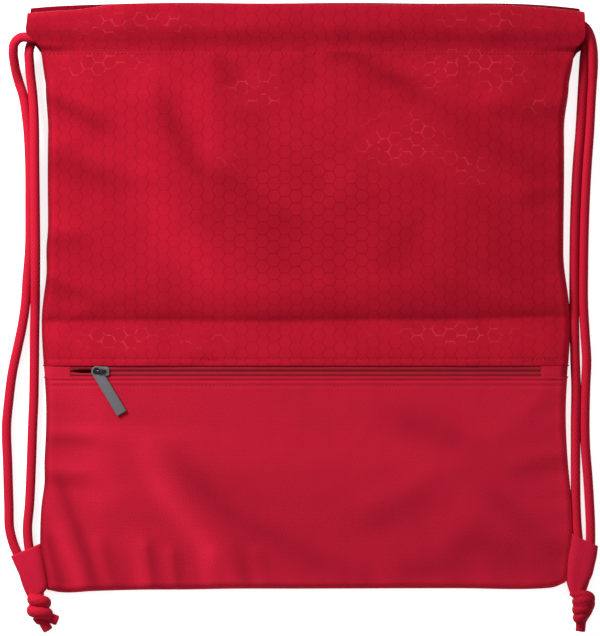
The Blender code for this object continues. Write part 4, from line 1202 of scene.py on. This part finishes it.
# Half widths of the slider from its left end to its right, the plan of its post, and the bridge's arch
SLIDER_PLAN = ((SLIDER_LEFT, 0.0029), (SLIDER_LEFT + 0.0030, 0.0041), (SLIDER_RIGHT - 0.0014, 0.0038),
               (SLIDER_RIGHT, 0.0028))
POST_PLAN = ((-0.1606, -0.0009), (-0.1584, -0.0009), (-0.1584, 0.0009), (-0.1606, 0.0009))
BRIDGE_ARCH = ((-0.16740, 0.0150), (-0.16742, 0.0166), (-0.16715, 0.0179), (-0.16620, 0.01855), (-0.1641, 0.01868),
               (-0.16200, 0.01855), (-0.16105, 0.0179), (-0.16080, 0.0166), (-0.16080, 0.0150))
BRIDGE_RADIUS, BRIDGE_WIDER, EYE_SHADE_DISC_RADIUS = 0.00115, 1.35, 0.0030
# Lower and upper level of each flat shape, and the bevel of its rims
UPPER_PLATE = (0.0142, 0.0155, 0.00035)
LOWER_PLATE = (0.0096, 0.0109, 0.00035)
POST = (0.0105, 0.0146, 0.0002)
# A thin dark disc under the pull's eye, painted shade for its hole
EYE_SHADE_DISC = (0.0150, 0.01562, 0.00010)
PULL_PLATE = (0.01610, 0.01745, 0.00046)


def circle(radius, count):
    angles = np.linspace(0, 2 * math.pi, count + 1)[:-1]
    return [(radius * math.cos(a), radius * math.sin(a)) for a in angles]


def make_slider():
    corners = [(x, ZIP_Y - y) for x, y in SLIDER_PLAN] + [(x, ZIP_Y + y) for x, y in SLIDER_PLAN[::-1]]
    outline = rounded(corners, [0.0010] * 8)
    # plates in the lighter copy of the metal, painted light
    upper = flat_shape("upper", [outline], *UPPER_PLATE, LIT_SLIDER_METAL)
    lower = flat_shape("lower", [outline], *LOWER_PLATE, LIT_SLIDER_METAL)
    corners = [(x, ZIP_Y + y) for x, y in POST_PLAN]
    # post and bridge in the darker copy of the metal, painted shade
    post = flat_shape("post", [rounded(corners, [0.0005] * 4)], *POST, SHADED_SLIDER_METAL)
    arch = smooth_route([(x, ZIP_Y, z) for x, z in BRIDGE_ARCH], 0.0004)
    points, faces, _ = tube_parts(arch, BRIDGE_RADIUS)
    wider = [(p.x, ZIP_Y + (p.y - ZIP_Y) * BRIDGE_WIDER, p.z) for p in points]
    bridge = add_mesh("bridge", wider, faces, SHADED_SLIDER_METAL)
    # the dark disc under the pull's eye: painted shade seen through its hole
    eye = [(EYE_X + x, ZIP_Y + y) for x, y in circle(EYE_SHADE_DISC_RADIUS, 24)]
    eye_shade_disc = flat_shape("eye_shade_disc", [eye], *EYE_SHADE_DISC, SHADED_SLIDER_METAL)
    made = merge("zip_slider_casting", [upper, lower, post, bridge, eye_shade_disc], 50)
    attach(made, "zip_slider")
    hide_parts("zip_slider")


PULL_LEAN = math.radians(31)
PULL_HALF_WIDTH = 0.00425
PULL_REACH = 0.0435 - PULL_HALF_WIDTH
PULL_CORNER = 0.0007
PULL_HOLE_RADIUS = 0.00275


def make_pull():
    eye = Vector((EYE_X, ZIP_Y))
    down = Vector((math.sin(PULL_LEAN), -math.cos(PULL_LEAN)))
    left = Vector((down.y, -down.x))

    def plan(along, aside):
        spot = eye + down * along + left * aside
        return (spot.x, spot.y)

    half, end, corner = PULL_HALF_WIDTH, PULL_REACH, PULL_CORNER
    outline = [plan(half * math.cos(a), half * math.sin(a))
               for a in np.linspace(math.radians(95), math.radians(265), 22)]
    tip = [(end - corner, half), (end - corner * 0.35, half - corner * 0.25), (end, half - corner)]
    outline += [plan(along, -aside) for along, aside in tip] + [plan(*spot) for spot in tip[::-1]]
    hole = [plan(x, y) for x, y in circle(PULL_HOLE_RADIUS, 28)]
    plate = flat_shape("plate", [outline, hole], *PULL_PLATE, PULL_METAL)
    made = merge("zip_pull_plate", [plate], 40)
    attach(made, "zip_pull")
    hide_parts("zip_pull")


# ---------------------------------------------------------------- stitches
STITCH, STITCH_GAP, STITCH_RADIUS, STITCH_SIDES = 0.0021, 0.0011, 0.00026, 6
STITCH_SINK, STITCH_RISE, LOOK_AHEAD = 0.00022, 0.00030, 0.0005
HEM_STITCH_Y = HEM_Y - 0.0006
HEM_STITCH_HALF_LENGTH, ZIP_STITCH_HALF_LENGTH = 0.2125, 0.208
STITCH_RINGS = ((0.0, 0.15), (0.12, 0.75), (0.3, 1.0), (0.5, 1.0), (0.7, 1.0), (0.88, 0.75), (1.0, 0.15))


def stitches(name, height, xs, y):
    """Small sewn stitches along the cloth, of that height, at one y."""
    ys = 0 * xs + y
    line = [Vector(p) for p in zip(xs, ys, height(xs, ys))]
    runs = [0.0]
    for a, b in zip(line, line[1:]):
        runs.append(runs[-1] + (b - a).length)
    axes = np.array(line).T

    def spot_at(run):
        return Vector([np.interp(run, runs, axis) for axis in axes])

    points, faces, coords = [], [], []
    start = STITCH_GAP
    while start + STITCH < runs[-1]:
        base = len(points)
        for share, size in STITCH_RINGS:
            run = start + STITCH * share
            spot = spot_at(run)
            ahead = spot_at(run + LOOK_AHEAD) - spot
            way = ahead.normalized() if ahead.length > 1e-7 else Vector((1, 0, 0))
            across = way.cross(Vector((0, 0, 1))).normalized()
            up = across.cross(way)
            rise = STITCH_RISE * math.sin(math.pi * share) - STITCH_SINK
            wide = STITCH_RADIUS * size
            for k in range(STITCH_SIDES):
                angle = 2 * math.pi * k / STITCH_SIDES
                points.append(spot + up * (rise + wide * math.sin(angle)) + across * wide * math.cos(angle))
                coords.append((run, angle * STITCH_RADIUS, 0))
        faces += tube_faces(len(STITCH_RINGS), STITCH_SIDES, base)
        start += STITCH + STITCH_GAP
    made = add_mesh(name, points, faces, THREAD, coords)
    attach(made, "bag")


def make_stitches():
    along_hem, along_zip = (np.linspace(-half, half, 500) for half in (HEM_STITCH_HALF_LENGTH, ZIP_STITCH_HALF_LENGTH))
    stitches("hem_stitches", upper_z, along_hem, HEM_STITCH_Y)
    stitches("zip_stitches_upper", upper_z, along_zip, STITCH_ABOVE_ZIP_Y)
    stitches("zip_stitches_lower", lower_z, along_zip, STITCH_BELOW_ZIP_Y)


# ---------------------------------------------------------------- cords, tabs and knots
# Routes of the strands, from the hem to the tabs: x and y in millimetres, and lift in cord diameters
LEFT_FRONT = ((-215, 209.6, 2.08), (-221.5, 210.6, 2.12), (-227.8, 210.6, 2.09), (-232.6, 206.8, 1.91),
              (-234.1, 199.5, 1.51), (-233.4, 191.5, 0.97), (-232.4, 185, 0.49), (-230.3, 176.5, 0.06),
              (-226.6, 165, 0), (-223.4, 145, 0), (-221.3, 113, 0), (-221, 78, 0), (-221.4, 40, 0), (-223.3, 17, 0),
              (-224.8, -4, 0), (-227.6, -22, 0), (-230.8, -37, 0), (-235.2, -58, 0), (-238, -80, 0),
              (-239.7, -98, 0), (-238.9, -130, 0), (-237.9, -163, 0), (-237, -184, 0.06), (-234.4, -194, 0.11))
LEFT_BACK = ((-214.5, 208.6, 0.2), (-219.6, 206, 0.75), (-221.5, 199.5, 1), (-221.2, 190, 0.9), (-220.4, 180, 0.7),
             (-218.8, 166, 0.62), (-218, 156, 0.72), (-217.4, 143, 0.88), (-217.1, 113, 0.96), (-216.7, 78, 0.95),
             (-216.4, 40, 0.9), (-216.5, 17, 0.68), (-216.8, -4, 0.12), (-217.2, -22, 0), (-217.6, -58, 0),
             (-218, -80, 0), (-218.8, -98, 0), (-219.9, -130, 0), (-221.4, -163, 0.01), (-223, -184, 0.1))
RIGHT_FRONT = ((219, 221.2, 2.1), (223.6, 218, 2.11), (226.9, 211.8, 1.97), (229, 203, 1.63), (229.8, 193, 1.03),
               (229.8, 185, 0.54), (229.3, 177, 0.11), (228.5, 165, 0), (226.8, 133, 0), (225.3, 113, 0),
               (223.4, 78, 0), (222.2, 28, 0), (222.2, -4, 0), (223.4, -26, 0), (224.7, -48, 0), (223.9, -68, 0),
               (223.3, -98, 0), (223.6, -114, 0), (225.7, -142, 0), (227, -163, 0), (227.8, -182, 0.09))
RIGHT_BACK = ((219, 221, 0.11), (223.2, 217.2, 0.11), (224.6, 210.8, 0.11), (224, 203, 0.1), (223, 195, 0.07),
              (222.3, 185, 0.03), (221.2, 165, 0), (219.3, 133, 0), (217.6, 113, 0), (215.7, 78, 0), (214.7, 28, 0),
              (214.7, -4, 0), (215, -26, 0), (215.5, -48, 0), (216.2, -68, 0), (215.8, -98, 0), (215.8, -114, 0),
              (215.8, -142, 0), (216.1, -163, 0.01), (216.9, -180, 0.06))
LEFT_TAB_FRONT = ((-230.8, -202.8), (-226.6, -216), (-222.4, -229), (-218.8, -236.8))
LEFT_TAB_BACK = ((-221.6, -198.5), (-217.8, -214), (-214.2, -229), (-213.6, -236.2))
RIGHT_TAB_FRONT = ((227.6, -197.5), (226.4, -210), (223.4, -223), (218.8, -236.2))
RIGHT_TAB_BACK = ((218, -194.5), (217.6, -209), (215.8, -223), (214.8, -236.4))


def lifted(route):
    return [(x * MM, y * MM, CORD_REST_Z + lift * CORD_DIAMETER) for x, y, lift in route]


def in_tab(route):
    return [(x * MM, y * MM, TAB_CORD_Z) for x, y in route]


# Each side's strands darker: partly the cord's own deeper red, partly painted shade
STRAND_TONE_AND_SHADE = {-1: -0.07, 1: -0.05}
CASING_LEAD = (0.018, 0.012, 0.006, 0.0)
CASING_SINK = 0.0006
TAPER = 0.006
EXIT_CLEAR = 0.004
LOOP_LEAD = 0.0165
LOOP_SINKS = (CASING_SINK, 0.0011, 0.0004)


def make_cord(side_name, side, run_y, front, back, tab_front, tab_back):
    """The free strands of one drawcord, and its run through both casings and round the far end."""
    start = side * (float(half_width(run_y)) - CORD_DIAMETER)
    centre = TURN_CENTRE[-side]
    made = []
    for name, route, tab, run_z in (("front", front, tab_front, FRONT_RUN_Z), ("back", back, tab_back, BACK_RUN_Z)):
        inside = [(start - side * d, run_y, run_z - CASING_SINK) for d in CASING_LEAD]
        points = smooth_route(inside + lifted(route) + in_tab(tab))
        shares = [1.0 if p.y < run_y - TAPER else float(ease((abs(p.x) - abs(start)) / TAPER)) for p in points]
        radii = [LEAD_RADIUS + (BRAID_RADIUS - LEAD_RADIUS) * share for share in shares]
        strand = add_tube(f"{side_name}_{name}_strand", [tube_parts(points, radii, 16)], CORD, STRAND_TONE_AND_SHADE[side])
        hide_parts(f"{side_name}_cord_{name}_strand")
        made.append((strand, points, abs(start) + EXIT_CLEAR))
    xs = [start - side * LOOP_LEAD, (start + centre) / 2, centre + side * CORD_RADIUS]
    middle_z = (FRONT_RUN_Z + BACK_RUN_Z) / 2
    loop = [(x, run_y, FRONT_RUN_Z - sink) for x, sink in zip(xs, LOOP_SINKS)]
    loop += [(centre - side * TURN_RADIUS * math.sin(a), run_y, middle_z + TURN_RADIUS * math.cos(a))
             for a in np.linspace(0, math.pi, 9)]
    loop += [(x, run_y, BACK_RUN_Z) for x in xs[::-1]]
    casing = add_tube(f"{side_name}_casing_cord", [tube_parts(smooth_route(loop, 0.002), CORD_RADIUS)], CORD)
    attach(casing, "bag")
    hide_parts(f"{side_name}_cord_casing_loop")
    for strand, *_ in made:
        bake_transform(strand)
    return made


# Outer and inner edge of each tab in millimetres; its section, as share of the width and height in millimetres
LEFT_TAB = (((-236.4, -204.2), (-211.6, -193.6)), ((-234.6, -208.2), (-210.2, -203)),
            ((-231.2, -215.8), (-208.6, -212.5)), ((-227.7, -223), (-207, -221.5)),
            ((-224.4, -229.6), (-206.6, -229)), ((-221.4, -236), (-210, -233.6)))
RIGHT_TAB = (((233.8, -196.2), (211.2, -185.8)), ((232.8, -204.5), (209.8, -197.5)),
             ((231.3, -211), (208.4, -206.8)), ((228.9, -220.4), (207.6, -218)), ((224.2, -228), (208.9, -226.2)),
             ((220.4, -235.6), (212.2, -236.6)))
TAB_SECTION = ((0.000, 4.6), (0.010, 6.6), (0.045, 8.2), (0.110, 9.2), (0.260, 9.5), (0.420, 9.25), (0.480, 9.2),
               (0.640, 9.45), (0.780, 9.1), (0.880, 8.3), (0.950, 7.2), (1.000, 5.6),
               (1.000, 1.6), (0.960, 0.9), (0.860, 0.75), (0.500, 0.7), (0.160, 0.75), (0.050, 1.4), (0.010, 2.9))
# Painted shade on each tab, deeper on the right one
TAB_PAINTED_SHADE = {-1: -0.05, 1: -0.13}
TAB_ROWS = 26
TAB_LENGTH = 0.042
# The section swells above this height in millimetres, along the tab
TAB_TOP_FROM, TAB_SWELL = 4, 0.05


def make_tab(side_name, side, stations):
    """A folded loop of ribbed tape over both strands, sewn into the side seam along its inner edge."""
    outer, inner = (smooth_route([(x * MM, y * MM, 0.0) for x, y in line], 0.0008) for line in zip(*stations))
    section = TAB_SECTION + TAB_SECTION[:1]
    points = np.zeros((TAB_ROWS, len(section), 3))
    coords = np.zeros((TAB_ROWS, len(section), 2))
    for r in range(TAB_ROWS):
        t = r / (TAB_ROWS - 1)
        a, b = (line[round(t * (len(line) - 1))] for line in (outer, inner))
        swollen = 1.0 + TAB_SWELL * math.sin(math.pi * t)
        for c, (share, z) in enumerate(section):
            spot = a.lerp(b, share)
            points[r, c] = (spot.x, spot.y, z * MM * (swollen if z > TAB_TOP_FROM else 1.0))
        coords[r, 1:, 0] = np.cumsum(np.linalg.norm(np.diff(points[r], axis=0), axis=1))
        coords[r, :, 1] = t * TAB_LENGTH
    turn = -1 if side > 0 else 1
    points, coords = points[::-1, ::turn], coords[::-1, ::turn]
    made = add_grid(f"{side_name}_tab_cloth", points, RIB, coords, painted_shading=np.full(points.shape[:2], TAB_PAINTED_SHADE[side]))
    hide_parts(f"{side_name}_corner_tab")
    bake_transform(made)


KNOT_STEP = 0.0012
WRAP_POINTS = 20
KNOT_SIDES = 16
CORD_END_RADIUS = 0.0040


def wraps(turns, start, y_of, x_of, z0, rx, rz, lean, hold=0.85):
    """Path of a cord wound about a knot's core: front passes lie flat, back passes carry it on."""
    path = []
    for i in range(int(turns * WRAP_POINTS) + 1):
        turn = start + i / WRAP_POINTS
        angle = 2 * math.pi * turn
        held = turn - hold * math.sin(angle) / (2 * math.pi)
        x = x_of(turn) + rx(turn) * math.sin(angle)
        path.append((x, y_of(held) + lean * math.sin(angle), z0 + rz(turn) * math.cos(angle)))
    return path


def knot(side_name, wound, thicker, fade, second, second_radius, core, core_radii, flatten, painted_shading):
    """A knot of one wound cord, a second cord through it and the core they are pulled tight about, all darkened by
    painted shade.
    """
    path, through_it, middle = (smooth_route(route, KNOT_STEP) for route in (wound, second, core))
    shares = np.arange(len(path)) / len(path)
    radii = CORD_END_RADIUS + thicker * ease(shares / 0.12) * ease((1 - shares) / fade)
    tubes = [tube_parts(path, radii, KNOT_SIDES, cut=True), tube_parts(through_it, second_radius, KNOT_SIDES, cut=True),
             tube_parts(middle, core_radii(np.linspace(0, 1, len(middle))), KNOT_SIDES, flatten)]
    made = add_tube(f"{side_name}_knot_cord", tubes, CORD, painted_shading)
    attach(made, f"{side_name}_strap")
    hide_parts(f"{side_name}_knot")


def make_left_knot():
    wound = wraps(2.1, 0.45, lambda t: -0.2400 - 0.0090 * (t - 1), lambda t: -0.2144 + 0.0006 * t, 0.0085,
                  lambda t: 0.0046 + 0.0010 * (t - 1), lambda t: 0.0036, -0.0004)
    wound = [(-0.2186, -0.2340, 0.0052), (-0.2172, -0.2372, 0.0050), *wound,
             (-0.2106, -0.2560, 0.0052), (-0.2084, -0.2600, 0.0050), (-0.2066, -0.2630, 0.0048)]
    second = [(-0.2138, -0.2345, 0.0050), (-0.2142, -0.2400, 0.0076), (-0.2138, -0.2462, 0.0080),
              (-0.2112, -0.2506, 0.0076), (-0.2056, -0.2532, 0.0064), (-0.1997, -0.2556, 0.0052)]
    core = [(-0.2146, -0.2378, 0.0079), (-0.2140, -0.2410, 0.0079), (-0.2134, -0.2480, 0.0078),
            (-0.2120, -0.2530, 0.0070)]

    def core_radii(t):
        return 0.0052 + 0.0030 * np.sin(math.pi * t)

    knot("left", wound, 0.0010, 0.22, second, 0.0041, core, core_radii, flatten=0.85, painted_shading=-0.10)


def make_right_knot():
    wound = wraps(3.0, 0.5, lambda t: -0.2398 - 0.0064 * (t - 1),
                  lambda t: 0.2228 - 0.0006 * t - 0.0006 * max(0, t - 2), 0.0078,
                  lambda t: 0.0050 - 0.0006 * (t - 0.5) - 0.0010 * max(0, t - 2),
                  lambda t: 0.0037 - 0.0005 * t, 0.0016)
    wound = [(0.2190, -0.2330, 0.0052), (0.2190, -0.2372, 0.0052), *wound,
             (0.2200, -0.2592, 0.0048), (0.2196, -0.2638, 0.0046)]
    second = [(0.2150, -0.2340, 0.0050), (0.2186, -0.2352, 0.0086), (0.2236, -0.2352, 0.0100),
              (0.2274, -0.2374, 0.0090), (0.2264, -0.2412, 0.0074), (0.2220, -0.2440, 0.0064),
              (0.2208, -0.2500, 0.0066), (0.2204, -0.2560, 0.0060), (0.2198, -0.2600, 0.0052)]
    core = [(0.2216, -0.2368, 0.0078), (0.2222, -0.2402, 0.0078), (0.2216, -0.2470, 0.0074),
            (0.2204, -0.2534, 0.0066), (0.2200, -0.2570, 0.0058)]
    core_profile = ((0.0, 0.0058), (0.18, 0.0088), (0.5, 0.0079), (0.82, 0.0056), (1.0, 0.0042))

    def core_radii(t):
        return through(core_profile, t)

    knot("right", wound, 0.0008, 0.5, second, CORD_END_RADIUS, core, core_radii, flatten=0.84, painted_shading=-0.30)


def make_straps():
    strands = make_cord("left", -1, LOWER_RUN_Y, LEFT_FRONT, LEFT_BACK, LEFT_TAB_FRONT, LEFT_TAB_BACK)
    strands += make_cord("right", 1, UPPER_RUN_Y, RIGHT_FRONT, RIGHT_BACK, RIGHT_TAB_FRONT, RIGHT_TAB_BACK)
    make_tab("left", -1, LEFT_TAB)
    make_tab("right", 1, RIGHT_TAB)
    make_left_knot()
    make_right_knot()


# ---------------------------------------------------------------- stage
FLOOR_HALF, FLOOR_Z = 3.0, -0.0004
LAMP_PLACE, LAMP_SIZE, LAMP_POWER = (-1.06, 0.99, 0.92), 0.6, 44.0
ROOM_LIGHT = 0.42
CAMERA_PLACE = (-0.0048, -0.0136, 8.0)
BAG_MIDDLE_Z = 0.010
VIEW_WIDTH = 0.480


def make_stage():
    spots = np.linspace(-FLOOR_HALF, FLOOR_HALF, 9)
    xs, ys = np.meshgrid(spots, spots)
    floor = add_grid("floor", np.stack([xs, ys, 0 * xs + FLOOR_Z], axis=2), floor_finish(), thickness=0.0)
    floor.visible_diffuse = False

    data = bpy.data.lights.new("key light", "AREA")
    data.shape = "DISK"
    data.size = LAMP_SIZE
    data.energy = LAMP_POWER
    lamp = add_object("key light", data)
    lamp.location = LAMP_PLACE
    lamp.rotation_euler = (-Vector(LAMP_PLACE)).to_track_quat("-Z", "Y").to_euler()
    world = bpy.data.worlds.new("soft room")
    bpy.context.scene.world = world
    world.use_nodes = True
    world.node_tree.nodes["Background"].inputs["Color"].default_value = (1.0, 0.985, 0.98, 1.0)
    world.node_tree.nodes["Background"].inputs["Strength"].default_value = ROOM_LIGHT

    data = bpy.data.cameras.new("camera")
    data.sensor_fit = "HORIZONTAL"
    data.sensor_width = 36.0
    data.lens = data.sensor_width * (CAMERA_PLACE[2] - BAG_MIDDLE_Z) / VIEW_WIDTH
    camera = add_object("camera", data)
    camera.location = CAMERA_PLACE
    bpy.context.scene.camera = camera
    bpy.context.scene.view_settings.view_transform = "Standard"


make_stage()
make_back()
make_lining()
make_front_upper()
make_front_lower()
for half_name, half_side in (("upper", 1), ("lower", -1)):
    make_tape(half_name, half_side)
    make_coil(half_name, half_side)
for end_name, end_side in (("left", -1), ("right", 1)):
    make_cover(end_name, end_side)
make_slider()
make_pull()
make_stitches()
make_straps()
